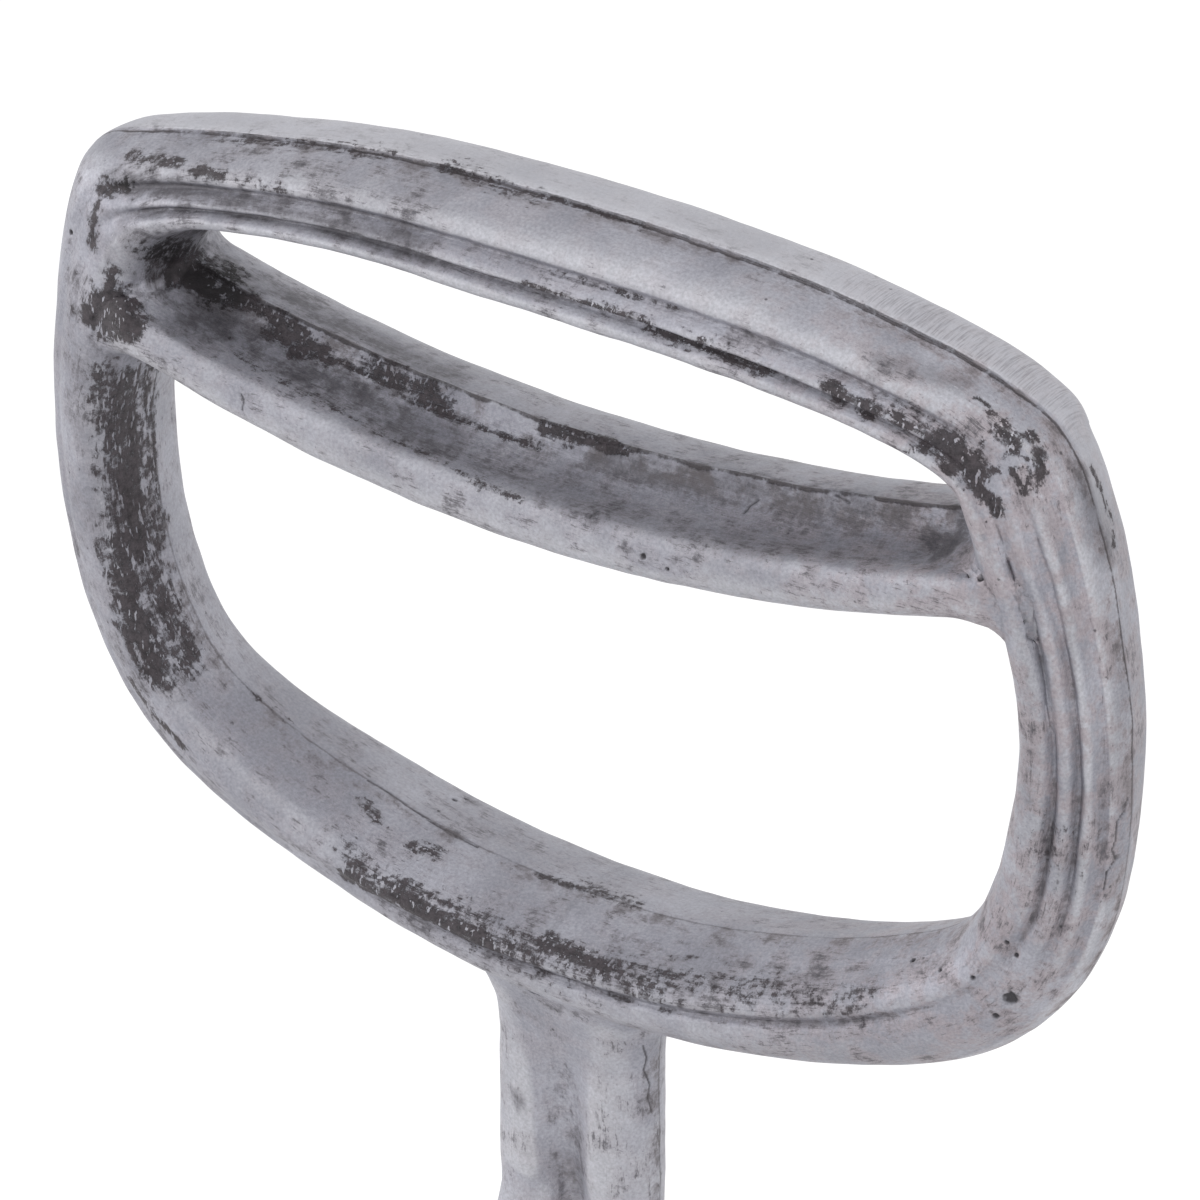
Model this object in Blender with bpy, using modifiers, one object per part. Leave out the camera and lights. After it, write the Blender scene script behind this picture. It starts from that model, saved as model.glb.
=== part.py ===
"""Stirrup hoe with a cast two-bar D-grip.

Frame: X is the width of the grip and of the blade, Y runs front (-) to back (+), Z is up along the shaft.
The origin is where a hand or a hook carries the hoe: the middle of the upper grip bar's underside.
All sizes below are in millimetres; meshes are made in metres.
"""

import math

import bmesh
import bpy
from mathutils import Vector

MM = 0.001
FIT = 0.3

# Grip loop: outer and inner outline of the parting plane, from the top down each side (x, z).
# The casting is not quite even from left to right. Each pair of points spans the bar at one place.
LOOP_OUTER_RIGHT = [
    (0, 11.8), (27.1, 11.1), (48.3, 7.9), (59.8, 3.8), (64.8, -0.2), (67.9, -5.9), (71, -16.7), (73.4, -32.1),
    (73.7, -47), (71.7, -61.7), (66, -74.3), (56.1, -84.7), (40, -91.3), (20, -95.1), (0, -95.8)]
LOOP_OUTER_LEFT = [
    (0, 11.8), (-27, 10.7), (-47.9, 7.2), (-60.1, 4.1), (-66.6, 1.3), (-69.9, -4.3), (-72.3, -15.9),
    (-73.7, -32), (-73, -47), (-70.3, -61.3), (-64.3, -73.4), (-53.8, -82.4), (-38.3, -88.4), (-19.4, -93.2),
    (0, -95.8)]
LOOP_INNER_RIGHT = [
    (0, 0), (25, -0.6), (43.3, -2), (51.5, -4.8), (54.1, -9.7), (55.8, -15.1), (58.7, -22.8), (60.7, -33.9),
    (59.8, -46), (57.6, -57.1), (53, -66.9), (43.9, -72.5), (32, -77.2), (16, -81), (0, -82)]
LOOP_INNER_LEFT = [
    (0, 0), (-25.1, -0.2), (-43.1, -2.3), (-50.6, -5.7), (-53.9, -9.9), (-55.9, -15.1), (-58.7, -22.9),
    (-60.9, -33.9), (-60.3, -46), (-57.6, -57.1), (-52.2, -66.4), (-43.6, -72.2), (-31.8, -76.8),
    (-16, -80.8), (0, -82)]
LOOP_STEPS = 3

# Bar sections: (share of the way from the inner to the outer outline, half depth), inner to outer crown.
# Bead, groove, ridge, valley and crown in front; the upper bar's back half stands proud of the parting line.
TOP_FRONT = [
    (0, 0), (0.045, 2.5), (0.115, 5.2), (0.155, 7.6), (0.19, 9.4), (0.26, 10.7), (0.345, 11.1), (0.4, 10.6),
    (0.455, 9.25), (0.505, 9.85), (0.555, 9.8), (0.615, 8.8), (0.665, 7.7), (0.75, 7.9), (0.86, 7), (0.94, 5),
    (0.985, 2.6), (1, 0)]
TOP_BACK = [
    (0, 0), (0.045, 2.5), (0.115, 5.2), (0.155, 7.6), (0.19, 9.4), (0.26, 10.7), (0.345, 11.1), (0.4, 10.6),
    (0.46, 9.9), (0.52, 9.9), (0.6, 9.8), (0.7, 9.4), (0.8, 8.9), (0.92, 8), (1.01, 6.4), (1.06, 4.2),
    (1.07, 0.5), (1, 0)]
SIDE_FRONT = [
    (0, 0), (0.02, 2.8), (0.06, 5.6), (0.115, 8), (0.19, 9.9), (0.29, 10.9), (0.4, 11.1), (0.485, 10.6),
    (0.535, 9.4), (0.59, 9.75), (0.65, 9.7), (0.7, 9), (0.735, 7.5), (0.79, 7.5), (0.86, 6.5), (0.905, 4.4),
    (0.97, 2.7), (1, 0)]
SIDE_BACK = [
    (0, 0), (0.02, 2.8), (0.06, 5.6), (0.115, 8), (0.19, 9.9), (0.29, 10.9), (0.42, 11.1), (0.525, 10.6),
    (0.575, 9.8), (0.63, 9.9), (0.695, 9.5), (0.75, 8.8), (0.805, 8.1), (0.87, 7.4), (0.92, 6), (0.96, 4.2),
    (0.99, 2), (1, 0)]
# Share of the upper bar's section at each outline point; the rest is the side section.
TOP_SHARE = [1, 1, 1, 0.8, 0.45, 0.15, 0, 0, 0, 0, 0, 0, 0, 0, 0]
# Depth of the section at each outline point: slimmer at the lower corners.
DEPTH_SHARE = [1.06, 1.01, 0.97, 0.92, 0.91, 0.91, 0.89, 0.83, 0.78, 0.75, 0.76, 0.85, 0.96, 1.03, 1.05]

# Second grip bar: sags between the side members and flares into them. Section from its underside up.
# In front a trough lies between the bead and the parting line; the back is plainly rounded.
BAR_FRONT = [
    (0, 0), (0.03, 4.5), (0.11, 8.4), (0.24, 10.4), (0.4, 11), (0.55, 10.9), (0.68, 10.2), (0.75, 9.2),
    (0.78, 7.6), (0.79, 5.6), (0.83, 3.4), (0.9, 1.6), (1, 0)]
BAR_BACK = [
    (0, 0), (0.03, 4.5), (0.11, 8.4), (0.24, 10.4), (0.4, 11), (0.53, 11), (0.66, 10.6), (0.8, 9.1),
    (0.91, 6.6), (0.985, 3.4), (1.015, 0.5), (1, 0)]
BAR_MIDDLE_Z = -25.0
BAR_TILT = 0.011
BAR_SAG_RADIUS = 187.0
BAR_THICKNESS = 12.0
BAR_END_X = 62.5
BAR_FLARE_X = 53.5
BAR_FLARE_RADIUS = 8.0
BAR_FLARE_RISE = 5.0
BAR_STEPS = 18

# Stem: (z, half width in x, half depth in y, depth of the flute between its two ribs).
STEM_STATIONS = [
    (-84, 14.5, 9, 0), (-92, 14.2, 8.6, 0), (-96, 12.6, 7.4, 0), (-99, 11.2, 6.3, 0.1),
    (-103, 10.5, 5.6, 0.5), (-107, 10.4, 5.5, 1.2), (-114, 10.4, 5.4, 1.9), (-121, 10.4, 5.3, 2.8),
    (-126, 10, 4.7, 3.7), (-128.5, 9.8, 4.5, 4)]
STEM_RIB_X = 5.0
STEM_CORNER = 0.85
STEM_SIDES = 28
# Fork legs: (z, centre x, half thickness in x, half width in y, squareness of the section).
# They leave the stem's ribs, part at the fork and become flat straps.
LEG_STATIONS = [
    (-108, 5.4, 4.6, 4.9, 2), (-116, 5.4, 4.7, 5, 2), (-128, 5.8, 4.65, 5, 2), (-140, 9.6, 3.9, 5.8, 2.6),
    (-152, 13.4, 2.9, 7.2, 4), (-162, 14.8, 2.6, 8, 5), (-222, 14.8, 2.6, 8, 5), (-228, 14.8, 2.6, 6.6, 4),
    (-231, 14.8, 2.4, 4.2, 3)]
LEG_STEPS = 2
LEG_SIDES = 16
STRAP_INNER_X = 12.2
STRAP_OUTER_X = 17.4
GRIP_RIVET_Z = {"upper": -182.0, "lower": -212.0}
GRIP_RIVET_RADIUS = 3.0
GRIP_HEAD_RADIUS = 6.0
GRIP_HEAD_HEIGHT = 2.8
BURR_RADIUS = 6.2
BURR_THICKNESS = 1.2

# Shaft: ash, turned; domed top between the straps, tapered foot in the socket.
SHAFT_RADIUS = 14.0
SHAFT_TOP_Z = -148.0
SHAFT_FLAT_X = STRAP_INNER_X - FIT
SHAFT_FLAT_END_Z = -234.0
SHAFT_FOOT_RADIUS = 10.9
SHAFT_END_Z = -904.0

# Head socket: tapered steel tube on an oval foot.
SOCKET_RIM_Z = -815.0
SOCKET_BORE_END_Z = SHAFT_END_Z - FIT
SOCKET_BASE_Z = -912.0
SOCKET_FOOT_THICKNESS = 5.5
SOCKET_FOOT_LENGTH = 64.0
SOCKET_FOOT_WIDTH = 28.0
SOCKET_RIVET_Z = -846.0
SOCKET_RIVET_RADIUS = 2.5
SOCKET_RIVET_REACH = 16.0

# Yoke: flat steel bent down at both ends.
YOKE_THICKNESS = 4.0
YOKE_WIDTH = 26.0
YOKE_EAR_X = 36.0
YOKE_TOP_Z = SOCKET_BASE_Z - FIT
YOKE_BEND_RADIUS = 3.5
YOKE_EAR_END_Z = -947.0
YOKE_RIVET_X = 24.0
YOKE_RIVET_RADIUS = 3.0
YOKE_RIVET_HEAD_RADIUS = 5.0
YOKE_RIVET_HEAD_HEIGHT = 2.4

# Swing axis and the pieces on it, from the outside in (x of the right-hand side).
PIVOT_Z = -934.0
BOLT_RADIUS = 3.9
BOLT_HEAD_RADIUS = 7.5
BOLT_HEAD_X = (40.2, 45.4)
BOLT_END_X = 19.5
OUTER_WASHER_X = (38.3, 39.9)
BUSH_X = (30.7, 33.7)
BUSH_RADIUS = 6.0
INNER_WASHER_X = (28.8, 30.4)
NUT_X = (21.0, 28.5)
WASHER_RADIUS = 9.0
BOLT_HOLE_RADIUS = BOLT_RADIUS + FIT

# Stirrup blade: spring-steel strap; centre line of the right half from the pivot end down (x, z).
BLADE_PATH = [(32.2, -920), (32.2, -937), (32.2, -953), (39.5, -967), (52, -983), (62.5, -999), (66.8, -1012),
              (65, -1022), (58, -1028.8), (48, -1030), (24, -1030), (0, -1030)]
BLADE_THICKNESS = 2.4
BLADE_WIDTH = 25.0
BLADE_BEVEL = 7.5
BLADE_EDGE = 0.5
BLADE_BEVEL_START_Z = -1012.0
BLADE_STEPS = 3


def clear_scene():
    for old in list(bpy.data.objects):
        bpy.data.objects.remove(old, do_unlink=True)


def new_collection(name):
    collection = bpy.data.collections.new(name)
    bpy.context.scene.collection.children.link(collection)
    return collection


def metal_or_wood(name, colour, roughness, metallic):
    """A Principled material of one colour (linear RGB)."""
    material = bpy.data.materials.new(name)
    material.use_nodes = True
    shader = material.node_tree.nodes["Principled BSDF"]
    shader.inputs["Base Color"].default_value = (*colour, 1)
    shader.inputs["Roughness"].default_value = roughness
    shader.inputs["Metallic"].default_value = metallic
    material.diffuse_color = (*colour, 1)
    return material


def add_object(name, mesh, collection, material=None, smooth_angle=40):
    """Link a mesh as a named object, shaded smooth up to an edge angle."""
    thing = bpy.data.objects.new(name, mesh)
    collection.objects.link(thing)
    mesh.shade_smooth()
    mesh.set_sharp_from_angle(angle=math.radians(smooth_angle))
    if material:
        mesh.materials.append(material)
    return thing


def add_cutter(thing):
    """Keep a Boolean operand out of the finished model."""
    thing.hide_render = True
    thing.display_type = "WIRE"
    return thing


def boolean(thing, operand, operation):
    modifier = thing.modifiers.new(operand.name, "BOOLEAN")
    modifier.operation = operation
    modifier.solver = "EXACT"
    modifier.object = operand


def loft(name, rings, closed, collection, material=None):
    """Skin a list of rings (each a list of points in mm); cap the ends unless the path is closed."""
    build = bmesh.new()
    rows = [[build.verts.new(Vector(p) * MM) for p in ring] for ring in rings]
    pairs = list(zip(rows, rows[1:] + rows[:1])) if closed else list(zip(rows, rows[1:]))
    for one, two in pairs:
        for i in range(len(one)):
            j = (i + 1) % len(one)
            build.faces.new((one[i], one[j], two[j], two[i]))
    if not closed:
        build.faces.new(rows[0])
        build.faces.new(rows[-1])
    bmesh.ops.recalc_face_normals(build, faces=build.faces)
    mesh = bpy.data.meshes.new(name)
    build.to_mesh(mesh)
    build.free()
    return add_object(name, mesh, collection, material)


def revolve(name, profile, collection, material=None, axis="Z", at=(0, 0, 0), steps=20):
    """Turn a (radius, height) profile, listed from the top down, about an axis through a point (mm)."""
    mesh = bpy.data.meshes.new(name)
    points = [Vector((r, 0, h)) * MM for r, h in profile]
    mesh.from_pydata(points, [(i, i + 1) for i in range(len(points) - 1)], [])
    thing = add_object(name, mesh, collection, material)
    screw = thing.modifiers.new("turn", "SCREW")
    screw.steps = screw.render_steps = steps
    screw.use_merge_vertices = True
    screw.merge_threshold = 0.00001
    thing.rotation_euler = {"X": (0, math.pi / 2, 0), "Y": (math.pi / 2, 0, 0), "Z": (0, 0, 0)}[axis]
    thing.location = Vector(at) * MM
    return thing


def cylinder_cutter(name, axis, at, radius, length, collection):
    half = length / 2
    profile = [(0, half), (radius, half), (radius, -half), (0, -half)]
    return add_cutter(revolve(name, profile, collection, axis=axis, at=at))


def spline(points, steps):
    """Catmull-Rom curve through 2D points; the ends are repeated."""
    padded = [points[0]] + list(points) + [points[-1]]
    curve = []
    for a, b, c, d in zip(padded, padded[1:], padded[2:], padded[3:]):
        for k in range(steps):
            t = k / steps
            curve.append(tuple(0.5 * (2 * q + (r - p) * t + (2 * p - 5 * q + 4 * r - s) * t * t
                                      + (3 * q - p - 3 * r + s) * t ** 3)
                               for p, q, r, s in zip(a, b, c, d)))
    return curve + [tuple(points[-1])]


def closed_spline(right, left, steps):
    """Closed curve down the right side and back up the left, smooth where they meet."""
    guided = [left[1]] + right + left[-2::-1] + [right[1]]
    return spline(guided, steps)[steps:-steps - 1]


def ring_section(front, back):
    """Front half (share, depth) and the back half behind the parting plane."""
    behind = [(share, depth) for share, depth in reversed(back[1:-1])]
    return [(share, -depth) for share, depth in front] + behind


def make_grip_loop(collection):
    outer = closed_spline(LOOP_OUTER_RIGHT, LOOP_OUTER_LEFT, LOOP_STEPS)
    inner = closed_spline(LOOP_INNER_RIGHT, LOOP_INNER_LEFT, LOOP_STEPS)
    shares = list(zip(TOP_SHARE, DEPTH_SHARE))
    share = closed_spline(shares, shares, LOOP_STEPS)
    top = ring_section(TOP_FRONT, TOP_BACK)
    side = ring_section(SIDE_FRONT, SIDE_BACK)
    rings = []
    for (xo, zo), (xi, zi), (mix, deep) in zip(outer, inner, share):
        section = [(fs + mix * (ft - fs), ys + mix * (yt - ys)) for (ft, yt), (fs, ys) in zip(top, side)]
        rings.append([(xi + f * (xo - xi), deep * y, zi + f * (zo - zi)) for f, y in section])
    return loft("grip_loop", rings, True, collection)


def make_grip_bar(collection):
    rings = []
    for k in range(BAR_STEPS + 1):
        x = BAR_END_X * math.sin(math.pi / 2 * (2 * k / BAR_STEPS - 1))
        middle = BAR_MIDDLE_Z + BAR_TILT * x + x * x / (2 * BAR_SAG_RADIUS)
        reach = min(max(abs(x) - BAR_FLARE_X, 0), BAR_FLARE_RADIUS)
        rise = min(BAR_FLARE_RADIUS - math.sqrt(BAR_FLARE_RADIUS ** 2 - reach ** 2), BAR_FLARE_RISE)
        thickness = BAR_THICKNESS + 2 * rise
        rings.append([(x, y, middle + (f - 0.5) * thickness) for f, y in ring_section(BAR_FRONT, BAR_BACK)])
    return loft("grip_bar", rings, False, collection)


def make_stem(collection):
    """Rounded stem with a flute down its front and back that deepens towards the fork."""
    rings = []
    for z, wide, deep, flute in STEM_STATIONS:
        ring = []
        for k in range(STEM_SIDES):
            angle = 2 * math.pi * k / STEM_SIDES
            c, s = math.cos(angle), math.sin(angle)
            x = wide * math.copysign(abs(c) ** STEM_CORNER, c)
            end = min(max((abs(x) - STEM_RIB_X) / (wide - STEM_RIB_X), 0), 1)
            dent = flute * (0.5 + 0.5 * math.cos(math.pi * min(abs(x) / STEM_RIB_X, 1)))
            ring.append((x, math.copysign(deep * math.sqrt(1 - end * end) - dent, s), z))
        rings.append(ring)
    return loft("stem", rings, False, collection)


def make_fork_leg(side, collection):
    stations = spline(LEG_STATIONS, LEG_STEPS)
    rings = []
    for z, centre, thick, width, square in stations:
        ring = []
        for k in range(LEG_SIDES):
            angle = 2 * math.pi * k / LEG_SIDES
            c, s = math.cos(angle), math.sin(angle)
            ring.append((side * centre + thick * math.copysign(abs(c) ** (2 / square), c),
                         width * math.copysign(abs(s) ** (2 / square), s), z))
        rings.append(ring)
    return loft(f"fork_leg_{side:+d}", rings, False, collection)


def make_grip_casting(parts, cutters):
    """One casting: loop, second bar, fluted stem and fork straps, drilled for two rivets."""
    casting = make_grip_loop(parts)
    casting.name = "grip_casting"
    casting.data.materials.append(metal_or_wood("cast_aluminium", (0.40, 0.40, 0.43), 0.42, 0.9))
    boolean(casting, add_cutter(make_grip_bar(cutters)), "UNION")
    boolean(casting, add_cutter(make_stem(cutters)), "UNION")
    for side in (-1, 1):
        boolean(casting, add_cutter(make_fork_leg(side, cutters)), "UNION")
    for place, z in GRIP_RIVET_Z.items():
        drill = cylinder_cutter(f"strap_drill_{place}", "X", (0, 0, z), GRIP_RIVET_RADIUS + FIT, 60, cutters)
        boolean(casting, drill, "DIFFERENCE")


def make_shaft(parts, cutters):
    profile = [(0, SHAFT_TOP_Z), (5, SHAFT_TOP_Z - 0.8), (8.5, SHAFT_TOP_Z - 3), (11.5, SHAFT_TOP_Z - 8),
               (13.4, SHAFT_TOP_Z - 15), (SHAFT_RADIUS, SHAFT_TOP_Z - 24), (SHAFT_RADIUS, SOCKET_RIM_Z + 14),
               (SHAFT_RADIUS - 0.7, SOCKET_RIM_Z), (SHAFT_FOOT_RADIUS, SHAFT_END_Z + 2),
               (SHAFT_FOOT_RADIUS - 1.2, SHAFT_END_Z), (0, SHAFT_END_Z)]
    shaft = revolve("shaft", profile, parts, metal_or_wood("ash_wood", (0.52, 0.33, 0.17), 0.5, 0.0))
    flat_height = SHAFT_TOP_Z - SHAFT_FLAT_END_Z + 20
    for side in (-1, 1):
        bpy.ops.mesh.primitive_cube_add(size=1)
        cheek = bpy.context.object
        cheek.name = f"cheek_flat_{side:+d}"
        cheek.scale = Vector((10, 40, flat_height)) * MM
        cheek.location = Vector((side * (SHAFT_FLAT_X + 5), 0, SHAFT_FLAT_END_Z + flat_height / 2)) * MM
        for old in cheek.users_collection:
            old.objects.unlink(cheek)
        cutters.objects.link(cheek)
        boolean(shaft, add_cutter(cheek), "DIFFERENCE")
    for place, z in GRIP_RIVET_Z.items():
        drill = cylinder_cutter(f"shaft_drill_{place}", "X", (0, 0, z), GRIP_RIVET_RADIUS + FIT, 60, cutters)
        boolean(shaft, drill, "DIFFERENCE")
    drill = cylinder_cutter("shaft_socket_drill", "Y", (0, 0, SOCKET_RIVET_Z), SOCKET_RIVET_RADIUS + FIT, 60,
                            cutters)
    boolean(shaft, drill, "DIFFERENCE")


def dome(radius, base, height, rings=3):
    """Domed rivet head from its crown down to its rim, as (radius, height) points."""
    return [(radius * math.sin(math.pi / 2 * k / rings), base + height * math.cos(math.pi / 2 * k / rings))
            for k in range(rings + 1)]


def rivet_profile(radius, head_radius, head_height, head_base, tail_base, tail_radius):
    """Head dome, plain shank and peened tail, from the head down."""
    tail = [(r, -h) for r, h in reversed(dome(tail_radius, -tail_base, head_height))]
    return dome(head_radius, head_base, head_height) + [(radius, head_base), (radius, tail_base)] + tail


def make_grip_rivets(parts):
    steel = metal_or_wood("rivet_steel", (0.30, 0.29, 0.28), 0.45, 1.0)
    head = STRAP_OUTER_X + FIT
    tail = -(STRAP_OUTER_X + 2 * FIT + BURR_THICKNESS)
    for place, z in GRIP_RIVET_Z.items():
        profile = rivet_profile(GRIP_RIVET_RADIUS, GRIP_HEAD_RADIUS, GRIP_HEAD_HEIGHT, head, tail, 5.0)
        revolve(f"grip_rivet_{place}", profile, parts, steel, axis="X", at=(0, 0, z), steps=16)
        bore = GRIP_RIVET_RADIUS + FIT
        top, low = -(STRAP_OUTER_X + FIT), tail + FIT
        ring = [(bore, low), (bore, top), (BURR_RADIUS, top), (BURR_RADIUS, low), (bore, low)]
        revolve(f"grip_burr_{place}", ring, parts, metal_or_wood("burr_zinc", (0.45, 0.45, 0.44), 0.4, 1.0),
                axis="X", at=(0, 0, z), steps=16)


def oval_plate(name, length, width, top, bottom, collection):
    """Plate with half-round ends, from a filled 2D curve."""
    curve = bpy.data.curves.new(name, "CURVE")
    curve.dimensions = "2D"
    curve.fill_mode = "BOTH"
    curve.extrude = (top - bottom) / 2 * MM
    outline = curve.splines.new("POLY")
    radius, straight = width / 2, (length - width) / 2
    points = []
    for end in (1, -1):
        for k in range(13):
            angle = math.pi * k / 12 - math.pi / 2
            points.append((end * (straight + radius * math.cos(angle)), end * radius * math.sin(angle)))
    outline.points.add(len(points) - 1)
    for point, (x, y) in zip(outline.points, points):
        point.co = (x * MM, y * MM, 0, 1)
    outline.use_cyclic_u = True
    drawn = bpy.data.objects.new(name, curve)
    collection.objects.link(drawn)
    mesh = bpy.data.meshes.new_from_object(drawn.evaluated_get(bpy.context.evaluated_depsgraph_get()))
    bpy.data.objects.remove(drawn, do_unlink=True)
    weld = bmesh.new()
    weld.from_mesh(mesh)
    bmesh.ops.remove_doubles(weld, verts=weld.verts, dist=0.00001)
    weld.to_mesh(mesh)
    weld.free()
    plate = add_object(name, mesh, collection)
    plate.location.z = (top + bottom) / 2 * MM
    return plate


def make_head_socket(parts, cutters):
    """Tapered tube with a rolled rim, joined to an oval foot."""
    rim_bore = SHAFT_RADIUS - 0.7 + FIT
    end_bore = SHAFT_FOOT_RADIUS + FIT
    profile = [(0, SOCKET_BORE_END_Z), (end_bore, SOCKET_BORE_END_Z), (rim_bore, SOCKET_RIM_Z),
               (16.2, SOCKET_RIM_Z), (16.9, SOCKET_RIM_Z - 1.6), (16.2, SOCKET_RIM_Z - 3.4),
               (15.6, SOCKET_RIM_Z - 6), (13.6, SOCKET_BORE_END_Z + 10), (14.2, SOCKET_BORE_END_Z + 2),
               (16.0, SOCKET_BASE_Z + SOCKET_FOOT_THICKNESS), (16.0, SOCKET_BASE_Z + 1),
               (0, SOCKET_BASE_Z + 1)]
    painted = metal_or_wood("painted_steel", (0.03, 0.035, 0.035), 0.45, 0.3)
    socket = revolve("head_socket", profile, parts, painted)
    foot = oval_plate("socket_foot", SOCKET_FOOT_LENGTH, SOCKET_FOOT_WIDTH,
                      SOCKET_BASE_Z + SOCKET_FOOT_THICKNESS, SOCKET_BASE_Z, cutters)
    boolean(socket, add_cutter(foot), "UNION")
    drill = cylinder_cutter("socket_drill", "Y", (0, 0, SOCKET_RIVET_Z), SOCKET_RIVET_RADIUS + FIT, 60,
                            cutters)
    boolean(socket, drill, "DIFFERENCE")
    for side in (-1, 1):
        at = (side * YOKE_RIVET_X, 0, SOCKET_BASE_Z)
        drill = cylinder_cutter(f"foot_drill_{side:+d}", "Z", at, YOKE_RIVET_RADIUS + FIT, 30, cutters)
        boolean(socket, drill, "DIFFERENCE")


def make_socket_rivet(parts):
    profile = rivet_profile(SOCKET_RIVET_RADIUS, 4.6, 2.0, SOCKET_RIVET_REACH, -SOCKET_RIVET_REACH, 4.6)
    steel = metal_or_wood("socket_rivet_steel", (0.30, 0.29, 0.28), 0.45, 1.0)
    revolve("socket_rivet", profile, parts, steel, axis="Y", at=(0, 0, SOCKET_RIVET_Z), steps=16)


def strap_rings(path, section_at):
    """Place a (depth, outward) section across each point of an XZ path."""
    rings = []
    for k, (x, z) in enumerate(path):
        before, after = path[max(k - 1, 0)], path[min(k + 1, len(path) - 1)]
        along = Vector((after[0] - before[0], after[1] - before[1])).normalized()
        outward = Vector((-along.y, along.x))
        rings.append([(x + w * outward.x, y, z + w * outward.y) for y, w in section_at(x, z)])
    return rings


def make_yoke(parts, cutters):
    """Flat bar bent into an inverted U, with round ear ends."""
    middle = YOKE_TOP_Z - YOKE_THICKNESS / 2
    bend = []
    for k in range(7):
        angle = math.pi / 2 * k / 6
        bend.append((YOKE_EAR_X - YOKE_BEND_RADIUS * (1 - math.cos(angle)),
                     middle - YOKE_BEND_RADIUS * (1 - math.sin(angle))))
    half_width = YOKE_WIDTH / 2
    round_z = YOKE_EAR_END_Z + half_width
    ear = [(YOKE_EAR_X, round_z - half_width * math.sin(math.pi / 2 * (1 - k / 8) * 0.96)) for k in range(9)]
    right = ear + bend
    path = right + [(-x, z) for x, z in reversed(right)]

    def section(x, z):
        drop = min(max(round_z - z, 0), half_width)
        y = math.sqrt(half_width ** 2 - drop ** 2)
        h = YOKE_THICKNESS / 2
        return [(-y, -h), (y, -h), (y, h), (-y, h)]

    yoke = loft("yoke", strap_rings(path, section), False, parts,
                metal_or_wood("yoke_steel", (0.03, 0.035, 0.035), 0.45, 0.3))
    for side in (-1, 1):
        at = (side * YOKE_RIVET_X, 0, middle)
        drill = cylinder_cutter(f"web_drill_{side:+d}", "Z", at, YOKE_RIVET_RADIUS + FIT, 30, cutters)
        boolean(yoke, drill, "DIFFERENCE")
    drill = cylinder_cutter("ear_drill", "X", (0, 0, PIVOT_Z), BOLT_HOLE_RADIUS, 120, cutters)
    boolean(yoke, drill, "DIFFERENCE")


def make_yoke_rivets(parts):
    steel = metal_or_wood("yoke_rivet_steel", (0.30, 0.29, 0.28), 0.45, 1.0)
    head = SOCKET_FOOT_THICKNESS + FIT
    tail = -(YOKE_THICKNESS + 2 * FIT)
    profile = rivet_profile(YOKE_RIVET_RADIUS, YOKE_RIVET_HEAD_RADIUS, YOKE_RIVET_HEAD_HEIGHT, head, tail,
                            YOKE_RIVET_HEAD_RADIUS)
    for place, side in (("left", -1), ("right", 1)):
        at = (side * YOKE_RIVET_X, 0, SOCKET_BASE_Z)
        revolve(f"yoke_rivet_{place}", profile, parts, steel, at=at, steps=16)


def make_stirrup_blade(parts, cutters):
    """Bent strap; its flat bottom is ground to an edge in front and behind. Origin on the swing axis."""
    right = [(x, z - PIVOT_Z) for x, z in spline(BLADE_PATH, BLADE_STEPS)]
    path = right + [(-x, z) for x, z in reversed(right[:-1])]
    start, floor = BLADE_BEVEL_START_Z - PIVOT_Z, BLADE_PATH[-1][1] - PIVOT_Z

    def section(x, z):
        grind = min(max((start - z) / (start - floor), 0), 1)
        half, h = BLADE_WIDTH / 2, BLADE_THICKNESS / 2
        bevel = BLADE_BEVEL * grind
        edge = BLADE_THICKNESS + (BLADE_EDGE - BLADE_THICKNESS) * grind
        inner = half - max(bevel, 0.2)
        back = h - edge * 0.98
        return [(-half, h), (half, h), (half, back), (inner, -h), (-inner, -h), (-half, back)]

    blade = loft("stirrup_blade", strap_rings(path, section), False, parts,
                 metal_or_wood("spring_steel", (0.20, 0.20, 0.21), 0.35, 1.0))
    blade.location.z = PIVOT_Z * MM
    drill = cylinder_cutter("blade_drill", "X", (0, 0, PIVOT_Z), BUSH_RADIUS + FIT, 120, cutters)
    boolean(blade, drill, "DIFFERENCE")


def hexagon(name, radius, span, collection, material=None):
    """Hexagonal prism along X between two x values (mm), with its corners turned off a little."""
    build = bmesh.new()
    bmesh.ops.create_cone(build, cap_ends=True, segments=6, radius1=radius * MM, radius2=radius * MM,
                          depth=(span[1] - span[0]) * MM)
    mesh = bpy.data.meshes.new(name)
    build.to_mesh(mesh)
    build.free()
    prism = add_object(name, mesh, collection, material)
    prism.rotation_euler = (0, math.pi / 2, 0)
    prism.location = Vector(((span[0] + span[1]) / 2, 0, PIVOT_Z)) * MM
    bevel = prism.modifiers.new("corners", "BEVEL")
    bevel.width = 0.5 * MM
    bevel.segments = 2
    return prism


def sided(span, side):
    """A right-hand span of x, or its mirror image."""
    return span if side > 0 else (-span[1], -span[0])


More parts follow.
